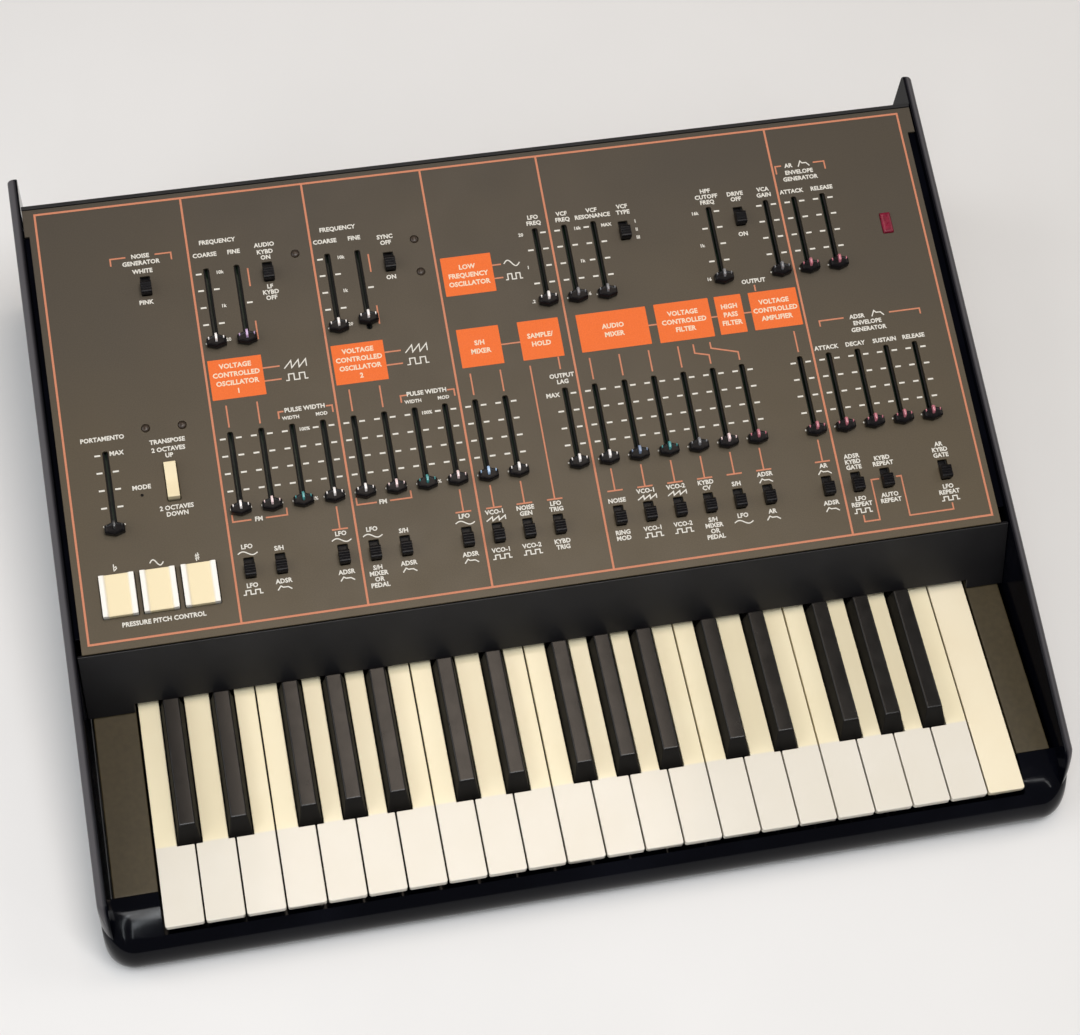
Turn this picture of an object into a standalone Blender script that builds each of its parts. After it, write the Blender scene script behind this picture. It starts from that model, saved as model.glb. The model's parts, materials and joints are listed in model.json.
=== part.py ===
"""Three-octave analogue synthesizer: a black shell with two side cheeks, a sloping control panel
with sliders, slide switches, pitch pads and a transpose rocker, and a 37-key sprung keyboard.

Metres, +Z up. +X runs towards the high notes and +Y towards the rear; the origin is on the
ground under the middle of the body. Depths along the keys are counted from the front edge of
the white keys, and panel positions are counted in key pitches, the grid that everything follows.
"""

import math

import bmesh
import bpy
from mathutils import Vector

# Driving dimensions of the body.
WIDTH = 0.584
DEPTH = 0.468
GAP = 0.0003
FRONT_OVERHANG = 0.010
CORNER_RADIUS = 0.018
CHEEK_THICKNESS = 0.0062
CHEEK_FILLET = 0.0042
CHEEK_FILLET_STEPS = 3
FLOOR_BOTTOM = 0.004
FLOOR_TOP = 0.007
FOOT_RADIUS = 0.009
FOOT_X = 0.245
FOOT_FRONT_Y = -0.205
FOOT_REAR_Y = 0.195

# Driving dimensions of the keyboard.
KEY_PITCH = 0.0235
KEY_GAP = 0.0010
WHITE_KEYS = 22
KEYBED_OFFSET = 0.0022
KEY_TOP = 0.038
WHITE_PLATE = 0.004
WHITE_RIB_DEPTH = 0.015
WHITE_RIB_INSET = 0.0025
WHITE_RIB_FRONT = 0.014
WHITE_CORNER = 0.0014
BLACK_SLOT = 0.0150
BLACK_WIDTH = 0.0136
BLACK_TOP_WIDTH = 0.0094
BLACK_FRONT = 0.0484
BLACK_TOP_FRONT = 0.0560
BLACK_REAR = 0.1365
BLACK_HEIGHT = 0.0110
BLACK_BODY_BOTTOM = 0.028
TAIL_WIDTH = 0.009
TAIL_TOP = 0.036
KEY_REAR = 0.181
PIVOT_DEPTH = 0.178
PIVOT_Z = 0.030

# Black key centres in an octave, in key pitches from the octave's left edge.
BLACK_CENTRES = {"Cs": 0.868, "Ds": 2.143, "Fs": 3.880, "Gs": 5.000, "As": 6.120}
WHITE_NOTES = "CDEFGAB"
LOWEST_OCTAVE = 3

# Key chassis: an end block at each side, joined by two cross rails and a rear upstand.
BLOCK_FRONT = 0.022
BLOCK_TOP = 0.0375
BLOCK_OUTER = 0.2827
LEFT_BLOCK_INNER = -0.2572
RIGHT_BLOCK_INNER = 0.2616
CHASSIS_REAR = 0.187
STOP_RAIL = (0.030, 0.060, 0.0125)
PIVOT_RAIL = (0.150, CHASSIS_REAR, 0.020)
UPSTAND_FRONT = 0.1835
UPSTAND_TOP = 0.036

# Front lip: a quarter ellipse from the end blocks' front edge down to the ground line.
LIP_NOSE_Z = 0.012
LIP_TUCK = 0.0008
LIP_ARC_STEPS = 8
TROUGH_FRONT = -0.0015

# Control panel: a flat sheet that lies on a ledge along each cheek, wider at its rear corners.
PANEL_TILT = math.radians(11.6)
PANEL_ORIGIN_DEPTH = 0.1628
PANEL_ORIGIN_Z = 0.08345
PANEL_FRONT = -0.0062
PANEL_REAR = 0.2780
PANEL_SHEET = 0.0020
PANEL_CENTRE_X = -0.0010
PANEL_HALF_WIDTH = 0.2815
PANEL_TAB_FRONT = 0.2604
PANEL_TAB_X = 0.2853
LEDGE_Y = (0.0040, 0.2720)
LEDGE_WIDTH = 0.0066
LEDGE_HEIGHT = 0.0060

# Apron between the keys and the panel. Its face leans back half as far as it rises.
APRON_FOOT_DEPTH = 0.1350
APRON_FOOT_Z = 0.0380
APRON_LEAN = 0.507
APRON_BOTTOM = 0.0383
APRON_TOP = 0.0798
APRON_THICKNESS = 0.0025
APRON_NOTCH_TOP = 0.0440

CHEEK_FRONT_TOP = 0.0040
CHEEK_REAR = 0.458
REAR_PLATE_FRONT = 0.4360
REAR_PLATE_BACK = 0.4385
REAR_PLATE_TOP = 0.1385

# Panel controls, in key pitches: columns of sliders across, rows up the slope.
FIRST_COLUMN = 3.284
COLUMN_PITCH = 0.7985
LOWER_ROW = 2.91
UPPER_ROW = 7.48
SWITCH_ROW = 1.37
SLIDER_TRAVEL = 0.045
SLOT_WIDTH = 0.0030
SLOT_MARGIN = 0.0033
SWITCH_SLOT = (0.0062, 0.0130)
SWITCH_TRAVEL = 0.0044

LOWER_SLIDER_COLUMNS = (*range(0, 10), *range(11, 18), *range(19, 24))
UPPER_SLIDER_COLUMNS = (0, 1, 4, 5, 11, 12, 13, 17, 19, 20, 21)
SWITCH_COLUMNS = (0, 1, 3, 4, 5, 7, 8, 9, 10, 12, 13, 14, 15, 16, 17, 19, 20, 21, 23)
UPPER_SWITCHES = ((-2, 9.31), (2, 9.30), (6, 9.16), (14, 9.22), (18, 9.22))
PORTAMENTO_COLUMN = -4
PORTAMENTO_ROW = 2.83
RAISED_FINE_TUNE = 0.12

PAD_CENTRES = (-0.035, 0.990, 2.020)
PAD_ROW = 1.12
PAD_SIZE = (0.0206, 0.0254)
PAD_HEIGHT = 0.0046
PAD_RIM = 0.0026
PAD_DISH = 0.0010
PAD_CLEARANCE = 0.0005
ROCKER_CENTRE = (1.66, 3.92)
ROCKER_SIZE = (0.0072, 0.0224)
ROCKER_SLOT = (0.0080, 0.0244)

# Circuit board under the panel, with a pot body under each slider and a switch body
# under each slide switch, hung from the panel on posts.
BOARD_TOP = -0.0184
BOARD_THICKNESS = 0.0016
BOARD_X = (-0.2660, 0.2660)
BOARD_Y = (0.0080, 0.2600)
POT_SIZE = (0.0090, 0.0600)
POT_TOP = -0.0095
SWITCH_BODY = (0.0090, 0.0180)
POST_SIDE = 0.006
POST_COLUMNS = (-0.2550, 0.0005, 0.2550)
POST_ROWS = (0.0500, 0.2530)

# Rear sockets: (name of the kind, centre x). Sizes are the clear opening of each kind.
SOCKET_Z = 0.052
SOCKET_BODY_DEPTH = 0.020
SOCKET_OPENING_DEPTH = 0.017
JACK_RADIUS = 0.0048
DIN_RADIUS = 0.0078
POWER_RADIUS = 0.0045
USB_SIZE = (0.0124, 0.0112)
SOCKETS = (
    ("power", 0.238),
    ("usb", 0.192),
    ("din", 0.156),
    ("jack", 0.080),
    ("jack", 0.048),
    ("jack", -0.020),
    ("jack", -0.052),
    ("jack", -0.150),
)

# Colour, roughness and metallic value of each finish.
FINISHES = {
    "gloss_black": ((0.008, 0.008, 0.010), 0.12, 0.0),
    "apron_black": ((0.012, 0.012, 0.014), 0.38, 0.0),
    "panel_brown": ((0.085, 0.073, 0.056), 0.55, 0.2),
    "key_white": ((0.87, 0.82, 0.70), 0.30, 0.0),
    "key_black": ((0.010, 0.010, 0.011), 0.18, 0.0),
    "cap_black": ((0.012, 0.012, 0.013), 0.35, 0.0),
    "pad_white": ((0.90, 0.87, 0.78), 0.45, 0.0),
    "board_green": ((0.02, 0.09, 0.04), 0.50, 0.0),
    "rear_black": ((0.015, 0.015, 0.016), 0.45, 0.4),
}


def clear_scene():
    """Empties the scene of its starting objects."""
    for obj in list(bpy.data.objects):
        bpy.data.objects.remove(obj, do_unlink=True)


def make_finish(name):
    """Principled material of one finish."""
    colour, roughness, metallic = FINISHES[name]
    finish = bpy.data.materials.get(name) or bpy.data.materials.new(name)
    finish.use_nodes = True
    shader = finish.node_tree.nodes["Principled BSDF"]
    shader.inputs["Base Color"].default_value = (*colour, 1.0)
    shader.inputs["Roughness"].default_value = roughness
    shader.inputs["Metallic"].default_value = metallic
    finish.diffuse_color = (*colour, 1.0)
    return finish


def depth(value):
    """World y of a depth behind the front edge of the white keys."""
    return value + FRONT_OVERHANG - DEPTH / 2


def across(pitches):
    """World x of a place counted in key pitches from the keyboard's left edge."""
    return (pitches - WHITE_KEYS / 2) * KEY_PITCH + KEYBED_OFFSET


def column(number):
    """World x of a column of panel controls."""
    return across(FIRST_COLUMN + COLUMN_PITCH * number)


def up_slope(pitches):
    """Distance up the panel's slope of a row counted in key pitches."""
    return pitches * KEY_PITCH


def loft(bm, rings):
    """Closed skin through rings of equally many points, with a face over each end ring."""
    skin = [[bm.verts.new(point) for point in ring] for ring in rings]
    bm.faces.new(skin[0])
    bm.faces.new(skin[-1])
    for near, far in zip(skin, skin[1:]):
        for i in range(len(near)):
            bm.faces.new((near[i - 1], near[i], far[i], far[i - 1]))


def prism_rings(outline, axis, low, high):
    """The two end rings of an outline of (a, b) points extruded along one axis."""
    order = {"x": (2, 0, 1), "y": (0, 2, 1), "z": (0, 1, 2)}[axis]
    rings = []
    for level in (low, high):
        rings.append([[(a, b, level)[i] for i in order] for a, b in outline])
    return rings


def rectangle(x_low, x_high, y_low, y_high):
    """The corners of a rectangle, in order."""
    return [(x_low, y_low), (x_high, y_low), (x_high, y_high), (x_low, y_high)]


def centred(centre, size):
    """The corners of a rectangle given by its centre and its size."""
    (x, y), (width, length) = centre, size
    return rectangle(x - width / 2, x + width / 2, y - length / 2, y + length / 2)


def add_prism(bm, outline, axis, low, high):
    loft(bm, prism_rings(outline, axis, low, high))


def circle(centre, radius, count=12):
    """Points round a circle."""
    turns = [2 * math.pi * (i + 0.5) / count for i in range(count)]
    return [(centre[0] + radius * math.cos(t), centre[1] + radius * math.sin(t)) for t in turns]


def finish_mesh(bm, name):
    """Mesh of a bmesh, with its faces pointing out."""
    bmesh.ops.recalc_face_normals(bm, faces=bm.faces)
    mesh = bpy.data.meshes.new(name)
    bm.to_mesh(mesh)
    bm.free()
    return mesh


def add_object(name, mesh, finish=None, parent=None, location=(0, 0, 0)):
    """Object with its own copy of the finish, placed in its parent's frame."""
    obj = bpy.data.objects.new(name, mesh)
    obj.parent = parent
    obj.location = location
    bpy.context.scene.collection.objects.link(obj)
    if finish:
        mesh.materials.clear()
        mesh.materials.append(make_finish(finish))
    return obj


def solid(name, outline, axis, low, high, finish, parent=None):
    """Object of one extruded outline."""
    bm = bmesh.new()
    add_prism(bm, outline, axis, low, high)
    return add_object(name, finish_mesh(bm, name), finish, parent)


def helper(name, bm, parent=None):
    """Hidden shape that a Boolean uses."""
    obj = add_object(name, finish_mesh(bm, name), parent=parent)
    obj.hide_render = True
    obj.display_type = "WIRE"
    return obj


def combine(obj, other, operation):
    """Boolean of an object with a helper."""
    modifier = obj.modifiers.new(f"{operation.lower()} {other.name}", "BOOLEAN")
    modifier.operation = operation
    modifier.solver = "EXACT"
    modifier.object = other


def shade_round(obj, angle_degrees=35):
    """Smooth shading that keeps edges sharper than the angle."""
    obj.data.shade_smooth()
    obj.data.set_sharp_from_angle(angle=math.radians(angle_degrees))


def make_plan_corners():
    """Prism with the body's plan, whose front corners are rounded."""
    half, front, steps = WIDTH / 2, -DEPTH / 2, 6
    outline = [(-half, DEPTH), (half, DEPTH)]
    for side in (1, -1):
        arc = [math.pi / 2 * i / steps for i in range(steps + 1)]
        if side < 0:
            arc.reverse()
        for turn in arc:
            x = side * (half - CORNER_RADIUS * (1 - math.cos(turn)))
            y = front + CORNER_RADIUS * (1 - math.sin(turn))
            outline.append((x, y))
    bm = bmesh.new()
    add_prism(bm, outline, "z", -0.01, 0.20)
    return helper("plan_corners", bm)


def lip_profile():
    """Side view of the lip and the floor behind it, as (y, z) points."""
    run = BLOCK_FRONT + FRONT_OVERHANG
    rise = BLOCK_TOP - LIP_NOSE_Z
    points = [(depth(REAR_PLATE_BACK), FLOOR_TOP), (depth(REAR_PLATE_BACK), FLOOR_BOTTOM)]
    points.append((depth(LIP_TUCK - FRONT_OVERHANG), FLOOR_BOTTOM))
    for i in range(LIP_ARC_STEPS + 1):
        turn = math.pi / 2 * i / LIP_ARC_STEPS
        y = depth(BLOCK_FRONT - run * math.cos(turn))
        points.append((y, LIP_NOSE_Z + rise * math.sin(turn)))
    points.append((depth(BLOCK_FRONT), FLOOR_TOP))
    return points


def make_base_shell(plan_corners):
    """Floor and front lip in one moulding, with a trough for the keys and four foot stubs."""
    half = WIDTH / 2 - CHEEK_THICKNESS - GAP
    shell = solid("base_shell", lip_profile(), "x", -half, half, "gloss_black")
    trough = bmesh.new()
    outline = rectangle(LEFT_BLOCK_INNER, RIGHT_BLOCK_INNER, depth(TROUGH_FRONT), depth(0.03))
    add_prism(trough, outline, "z", FLOOR_TOP, 0.06)
    combine(shell, helper("key_trough", trough), "DIFFERENCE")
    combine(shell, plan_corners, "INTERSECT")
    feet = bmesh.new()
    for x in (-FOOT_X, FOOT_X):
        for y in (FOOT_FRONT_Y, FOOT_REAR_Y):
            add_prism(feet, circle((x, y), FOOT_RADIUS), "z", 0.0, (FLOOR_BOTTOM + FLOOR_TOP) / 2)
    combine(shell, helper("foot_stubs", feet), "UNION")
    shade_round(shell)


def panel_height(depth_value):
    """Height of the panel's plane at a depth."""
    return PANEL_ORIGIN_Z + (depth_value - PANEL_ORIGIN_DEPTH) * math.tan(PANEL_TILT)


def cheek_outline(drop):
    """Side view of a cheek as (y, z) points, with its top edge lowered by a drop."""
    nose = 0.012 - FRONT_OVERHANG
    return [
        (depth(CHEEK_REAR), FLOOR_BOTTOM),
        (depth(CHEEK_REAR), panel_height(CHEEK_REAR) - 0.003 - drop),
        (depth(CHEEK_REAR - 0.003), panel_height(CHEEK_REAR - 0.003) - drop),
        (depth(CHEEK_FRONT_TOP), panel_height(CHEEK_FRONT_TOP) - drop),
        (depth(nose - 0.004), 0.0470 - drop / 2),
        (depth(nose - 0.0085), 0.0380),
        (depth(nose - 0.0110), 0.0250),
        (depth(-FRONT_OVERHANG), LIP_NOSE_Z),
        (depth(LIP_TUCK - FRONT_OVERHANG), FLOOR_BOTTOM),
    ]


def make_cheek(name, side, plan_corners, panel_frame):
    """Side cheek, whose top edge lies in the panel's plane and runs on behind it.

    The top is rounded over to the outside, and a ledge on the inside carries the panel.
    """
    outer = WIDTH / 2
    inner = outer - CHEEK_THICKNESS
    sections = [(inner, 0.0)]
    for i in range(CHEEK_FILLET_STEPS + 1):
        turn = math.pi / 2 * i / CHEEK_FILLET_STEPS
        x = outer - CHEEK_FILLET * (1 - math.sin(turn))
        sections.append((x, CHEEK_FILLET * (1 - math.cos(turn))))
    bm = bmesh.new()
    loft(bm, [[(side * x, y, z) for y, z in cheek_outline(drop)] for x, drop in sections])
    cheek = add_object(name, finish_mesh(bm, name), "gloss_black")
    combine(cheek, plan_corners, "INTERSECT")
    ledge = bmesh.new()
    reach = sorted((side * (inner - LEDGE_WIDTH), side * (inner + GAP)))
    top = -PANEL_SHEET - GAP
    add_prism(ledge, rectangle(*reach, *LEDGE_Y), "z", top - LEDGE_HEIGHT, top)
    combine(cheek, helper(f"{name}_ledge", ledge, panel_frame), "UNION")
    shade_round(cheek)


def make_key_chassis():
    """Frame that carries the keys; its end blocks show beside the keyboard."""
    front, rear = depth(BLOCK_FRONT + GAP), depth(CHASSIS_REAR)
    floor = FLOOR_TOP + GAP
    left = rectangle(-BLOCK_OUTER, LEFT_BLOCK_INNER, front, rear)
    chassis = solid("key_chassis", left, "z", floor, BLOCK_TOP, "panel_brown")
    right = bmesh.new()
    add_prism(right, rectangle(RIGHT_BLOCK_INNER, BLOCK_OUTER, front, rear), "z", floor, BLOCK_TOP)
    combine(chassis, helper("right_block", right), "UNION")
    inside = (LEFT_BLOCK_INNER - 0.001, RIGHT_BLOCK_INNER + 0.001)
    for name, (start, end, top) in {"stop_rail": STOP_RAIL, "pivot_rail": PIVOT_RAIL}.items():
        rail = bmesh.new()
        add_prism(rail, rectangle(*inside, depth(start), depth(end)), "z", floor, top)
        combine(chassis, helper(name, rail), "UNION")
    upstand = bmesh.new()
    outline = rectangle(*inside, depth(UPSTAND_FRONT), rear)
    add_prism(upstand, outline, "z", PIVOT_RAIL[2] - 0.002, UPSTAND_TOP)
    combine(chassis, helper("upstand", upstand), "UNION")


def slot_outline(x, y_low, y_high):
    """Slider slot with chamfered ends."""
    half, cut = SLOT_WIDTH / 2, SLOT_WIDTH / 3
    near = [(x - cut / 2, y_low), (x + cut / 2, y_low)]
    right = [(x + half, y_low + cut), (x + half, y_high - cut)]
    far = [(x + cut / 2, y_high), (x - cut / 2, y_high)]
    left = [(x - half, y_high - cut), (x - half, y_low + cut)]
    return near + right + far + left


def slider_places():
    """(x, y) on the panel of every slider at the bottom of its travel."""
    places = [(column(PORTAMENTO_COLUMN), up_slope(PORTAMENTO_ROW))]
    places += [(column(n), up_slope(LOWER_ROW)) for n in LOWER_SLIDER_COLUMNS]
    places += [(column(n), up_slope(UPPER_ROW)) for n in UPPER_SLIDER_COLUMNS]
    return places


def switch_places():
    """(x, y) on the panel of every slide switch's slot centre."""
    places = [(column(n), up_slope(SWITCH_ROW)) for n in SWITCH_COLUMNS]
    return places + [(column(n), up_slope(row)) for n, row in UPPER_SWITCHES]


def apron_direction():
    """Unit (y, z) vector up the apron's face."""
    return Vector((APRON_LEAN, 1.0)).normalized()


def panel_outline():
    """Outline of the sheet, with a tab at each rear corner that reaches over the cheek's ledge."""
    left, right = PANEL_CENTRE_X - PANEL_HALF_WIDTH, PANEL_CENTRE_X + PANEL_HALF_WIDTH
    tabs = [(PANEL_TAB_X, PANEL_REAR), (-PANEL_TAB_X, PANEL_REAR)]
    right_side = [(right, PANEL_FRONT), (right, PANEL_TAB_FRONT), (PANEL_TAB_X, PANEL_TAB_FRONT)]
    left_side = [(-PANEL_TAB_X, PANEL_TAB_FRONT), (left, PANEL_TAB_FRONT), (left, PANEL_FRONT)]
    return right_side + tabs + left_side


def make_control_panel(panel_frame):
    """Sheet with a slot for each slider and switch, and holes for the pads and the rocker."""
    sheet = solid("control_panel", panel_outline(), "z", -PANEL_SHEET, 0.0, "panel_brown", panel_frame)
    cuts = bmesh.new()
    outlines = []
    for x, y in slider_places():
        outlines.append(slot_outline(x, y - SLOT_MARGIN, y + SLIDER_TRAVEL + SLOT_MARGIN))
    outlines += [centred(place, SWITCH_SLOT) for place in switch_places()]
    pad_hole = [side + 2 * PAD_CLEARANCE for side in PAD_SIZE]
    outlines += [centred((across(x), up_slope(PAD_ROW)), pad_hole) for x in PAD_CENTRES]
    outlines.append(centred((across(ROCKER_CENTRE[0]), up_slope(ROCKER_CENTRE[1])), ROCKER_SLOT))
    for outline in outlines:
        add_prism(cuts, outline, "z", -0.01, 0.01)
    combine(sheet, helper("panel_cuts", cuts, panel_frame), "DIFFERENCE")


def make_circuit_board(panel_frame):
    """Board with its pot and switch bodies, and the posts that meet the panel's underside."""
    bottom = BOARD_TOP - BOARD_THICKNESS
    outline = rectangle(*BOARD_X, *BOARD_Y)
    board = solid("circuit_board", outline, "z", bottom, BOARD_TOP, "board_green", panel_frame)
    bodies = bmesh.new()
    sunk = BOARD_TOP - BOARD_THICKNESS / 2
    for x, y in slider_places():
        add_prism(bodies, centred((x, y + SLIDER_TRAVEL / 2), POT_SIZE), "z", sunk, POT_TOP)
    for place in switch_places():
        add_prism(bodies, centred(place, SWITCH_BODY), "z", sunk, POT_TOP)
    for x in POST_COLUMNS:
        for y in POST_ROWS:
            add_prism(bodies, centred((x, y), (POST_SIDE, POST_SIDE)), "z", sunk, -PANEL_SHEET - GAP)
    combine(board, helper("board_bodies", bodies, panel_frame), "UNION")


def make_apron():
    """Sloping black strip above the keys, cut away over them."""
    slope = apron_direction()
    inward = Vector((slope.y, -slope.x)) * APRON_THICKNESS

    def face_point(z):
        return Vector((depth(APRON_FOOT_DEPTH) + (z - APRON_FOOT_Z) * APRON_LEAN, z))

    top = face_point(APRON_TOP)
    foot = face_point(APRON_BOTTOM)
    inner_top = top + inward
    inner_foot = inner_top - slope * ((inner_top.y - APRON_BOTTOM) / slope.y)
    half = WIDTH / 2 - CHEEK_THICKNESS - GAP
    apron = solid("front_apron", [foot, top, inner_top, inner_foot], "x", -half, half, "apron_black")
    notch = bmesh.new()
    outline = rectangle(LEFT_BLOCK_INNER, RIGHT_BLOCK_INNER, depth(0.12), depth(0.16))
    add_prism(notch, outline, "z", 0.02, APRON_NOTCH_TOP)
    combine(apron, helper("key_notch", notch), "DIFFERENCE")


def socket_outline(kind, x):
    """Opening of a rear socket, as (x, z) points, and the half sides of its body."""
    if kind == "usb":
        return centred((x, SOCKET_Z), USB_SIZE), (0.0090, 0.0085)
    radius = {"jack": JACK_RADIUS, "din": DIN_RADIUS, "power": POWER_RADIUS}[kind]
    return circle((x, SOCKET_Z), radius), (radius + 0.003, radius + 0.003)


def make_rear_panel():
    """Upright rear plate with its socket bodies on the inside."""
    half = WIDTH / 2 - CHEEK_THICKNESS - GAP
    outline = rectangle(-half, half, FLOOR_TOP + GAP, REAR_PLATE_TOP)
    low, high = depth(REAR_PLATE_FRONT), depth(REAR_PLATE_BACK)
    plate = solid("rear_panel", outline, "y", low, high, "rear_black")
    bodies, openings = bmesh.new(), bmesh.new()
    for kind, x in SOCKETS:
        opening, (half_width, half_height) = socket_outline(kind, x)
        body = centred((x, SOCKET_Z), (2 * half_width, 2 * half_height))
        add_prism(bodies, body, "y", high - SOCKET_BODY_DEPTH, (low + high) / 2)
        add_prism(openings, opening, "y", high - SOCKET_OPENING_DEPTH, high + 0.01)
    combine(plate, helper("socket_bodies", bodies), "UNION")
    combine(plate, helper("socket_openings", openings), "DIFFERENCE")


def black_key_places():
    """(note name, centre in key pitches) of every black key."""
    places = []
    for octave in range(WHITE_KEYS // 7):
        for note, centre in BLACK_CENTRES.items():
            places.append((f"{note}{LOWEST_OCTAVE + octave}", 7 * octave + centre))
    return places


def white_outline(left, right, tail_left, tail_right, front, step, rear, corner):
    """Plan of a white key: a head with rounded front corners and a tail between the black keys."""
    points = []
    for centre_x, start in ((left + corner, 180), (right - corner, 270)):
        for turn in (0, 30, 60, 90):
            angle = math.radians(start + turn)
            x = centre_x + corner * math.cos(angle)
            points.append((x, front + corner + corner * math.sin(angle)))
    if tail_right < right:
        points += [(right, step), (tail_right, step)]
    points += [(tail_right, rear), (tail_left, rear)]
    if tail_left > left:
        points += [(tail_left, step), (left, step)]
    return points


def make_white_key(index, blacks):
    """White key: a top plate over a narrower rib, with its origin on the pivot."""
    half = (KEY_PITCH - KEY_GAP) / 2
    tail_left, tail_right = -half, half
    for _, centre in blacks:
        offset = (centre - index - 0.5) * KEY_PITCH
        if -KEY_PITCH < offset < 0:
            tail_left = max(tail_left, offset + BLACK_SLOT / 2)
        elif 0 <= offset < KEY_PITCH:
            tail_right = min(tail_right, offset - BLACK_SLOT / 2)
    step = BLACK_FRONT - 0.0007 - PIVOT_DEPTH
    rear = KEY_REAR - PIVOT_DEPTH
    plate = white_outline(-half, half, tail_left, tail_right, -PIVOT_DEPTH, step, rear, WHITE_CORNER)
    inset = WHITE_RIB_INSET
    rib_front = WHITE_RIB_FRONT - PIVOT_DEPTH
    rib_sides = (-half + inset, half - inset)
    if tail_left > -half or tail_right < half:
        rib_tails = (max(tail_left + inset, rib_sides[0]), min(tail_right - inset, rib_sides[1]))
    else:
        rib_tails = rib_sides
    rib = white_outline(*rib_sides, *rib_tails, rib_front, step - inset, rear - 0.001, WHITE_CORNER)
    top = KEY_TOP - PIVOT_Z
    under, bottom = top - WHITE_PLATE, top - WHITE_RIB_DEPTH
    levels = ((plate, top), (plate, under), (rib, under), (rib, bottom))
    bm = bmesh.new()
    loft(bm, [[(x, y, z) for x, y in outline] for outline, z in levels])
    name = f"key_{WHITE_NOTES[index % 7]}{LOWEST_OCTAVE + index // 7}"
    place = (across(index + 0.5), depth(PIVOT_DEPTH), PIVOT_Z)
    add_object(name, finish_mesh(bm, name), "key_white", location=place)


def black_key_mesh():
    """Black key: a tapered cap with a sloping front, and a lower tail, with its origin on the pivot."""
    front, rear = BLACK_FRONT - PIVOT_DEPTH, BLACK_REAR - PIVOT_DEPTH
    top_front = BLACK_TOP_FRONT - PIVOT_DEPTH
    half, top_half = BLACK_WIDTH / 2, BLACK_TOP_WIDTH / 2
    shoulder = KEY_TOP + 0.0005 - PIVOT_Z
    bottom = BLACK_BODY_BOTTOM - PIVOT_Z
    levels = (
        (half, front, bottom),
        (half, front, shoulder),
        (top_half, top_front, KEY_TOP + BLACK_HEIGHT - PIVOT_Z),
    )
    bm = bmesh.new()
    loft(bm, [[(x, y, z) for x, y in rectangle(-w, w, y0, rear)] for w, y0, z in levels])
    middles = {face: face.calc_center_median() for face in bm.faces}
    back = next(f for f, at in middles.items() if abs(at.y - rear) < 1e-5 and at.z < shoulder)
    corners = list(back.verts)
    bm.faces.remove(back)
    rings = [corners]
    for y in (rear + 0.003, KEY_REAR - PIVOT_DEPTH):
        ring = []
        for corner in corners:
            x = math.copysign(TAIL_WIDTH / 2, corner.co.x)
            z = bottom if corner.co.z < (bottom + shoulder) / 2 else TAIL_TOP - PIVOT_Z
            ring.append(bm.verts.new((x, y, z)))
        rings.append(ring)
    for near, far in zip(rings, rings[1:]):
        for i in range(4):
            bm.faces.new((near[i - 1], near[i], far[i], far[i - 1]))
    bm.faces.new(rings[-1])
    return finish_mesh(bm, "black_key")


def make_keyboard():
    """All 37 keys, hinged on one line at the rear of the chassis."""
    blacks = black_key_places()
    for index in range(WHITE_KEYS):
        make_white_key(index, blacks)
    shared = black_key_mesh()
    for note, centre in blacks:
        place = (across(centre), depth(PIVOT_DEPTH), PIVOT_Z)
        add_object(f"key_{note}", shared, "key_black", location=place)


def hexagon(half_width, side, point, z):
    """Ring with flat sides at left and right and a point at front and rear."""
    return [
        (-half_width, -side, z),
        (0.0, -point, z),
        (half_width, -side, z),
        (half_width, side, z),
        (0.0, point, z),
        (-half_width, side, z),
    ]


def slider_mesh():
    """Slider: a stem through the slot, a six-sided cap and a raised fin across its middle."""
    bm = bmesh.new()
    rings = [
        hexagon(0.0008, 0.0024, 0.0024, -0.0075),
        hexagon(0.0008, 0.0024, 0.0024, 0.0006),
        hexagon(0.0066, 0.0030, 0.0052, 0.0006),
        hexagon(0.0064, 0.0028, 0.0050, 0.0060),
        hexagon(0.0048, 0.0020, 0.0036, 0.0072),
        hexagon(0.0011, 0.0018, 0.0032, 0.0074),
        hexagon(0.0008, 0.0016, 0.0026, 0.0098),
    ]
    loft(bm, rings)
    return finish_mesh(bm, "slider")


def switch_mesh():
    """Slide switch cap over its stem."""
    bm = bmesh.new()
    levels = (
        (0.0020, 0.0022, -0.0060),
        (0.0020, 0.0022, 0.0005),
        (0.0034, 0.0041, 0.0005),
        (0.0034, 0.0041, 0.0046),
        (0.0028, 0.0034, 0.0056),
    )
    loft(bm, [[(x, y, z) for x, y in rectangle(-w, w, -d, d)] for w, d, z in levels])
    return finish_mesh(bm, "switch")


def pad_mesh():
    """Pitch pad: a block whose left and right rims stand above its face."""
    half = PAD_SIZE[0] / 2
    face = PAD_HEIGHT - PAD_DISH
    outline = [
        (-half, -0.005),
        (half, -0.005),
        (half, PAD_HEIGHT),
        (half - PAD_RIM, PAD_HEIGHT),
        (half - PAD_RIM - 0.0012, face),
        (-half + PAD_RIM + 0.0012, face),
        (-half + PAD_RIM, PAD_HEIGHT),
        (-half, PAD_HEIGHT),
    ]
    bm = bmesh.new()
    add_prism(bm, outline, "y", -PAD_SIZE[1] / 2, PAD_SIZE[1] / 2)
    return finish_mesh(bm, "pad")


def rocker_mesh():
    """Transpose rocker: its face is lowest in the middle, so either end can be pressed down."""
    half = ROCKER_SIZE[1] / 2
    outline = [(-half, -0.003), (half, -0.003), (half, 0.0040), (0.0, 0.0026), (-half, 0.0040)]
    bm = bmesh.new()
    add_prism(bm, outline, "x", -ROCKER_SIZE[0] / 2, ROCKER_SIZE[0] / 2)
    return finish_mesh(bm, "rocker")


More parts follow.
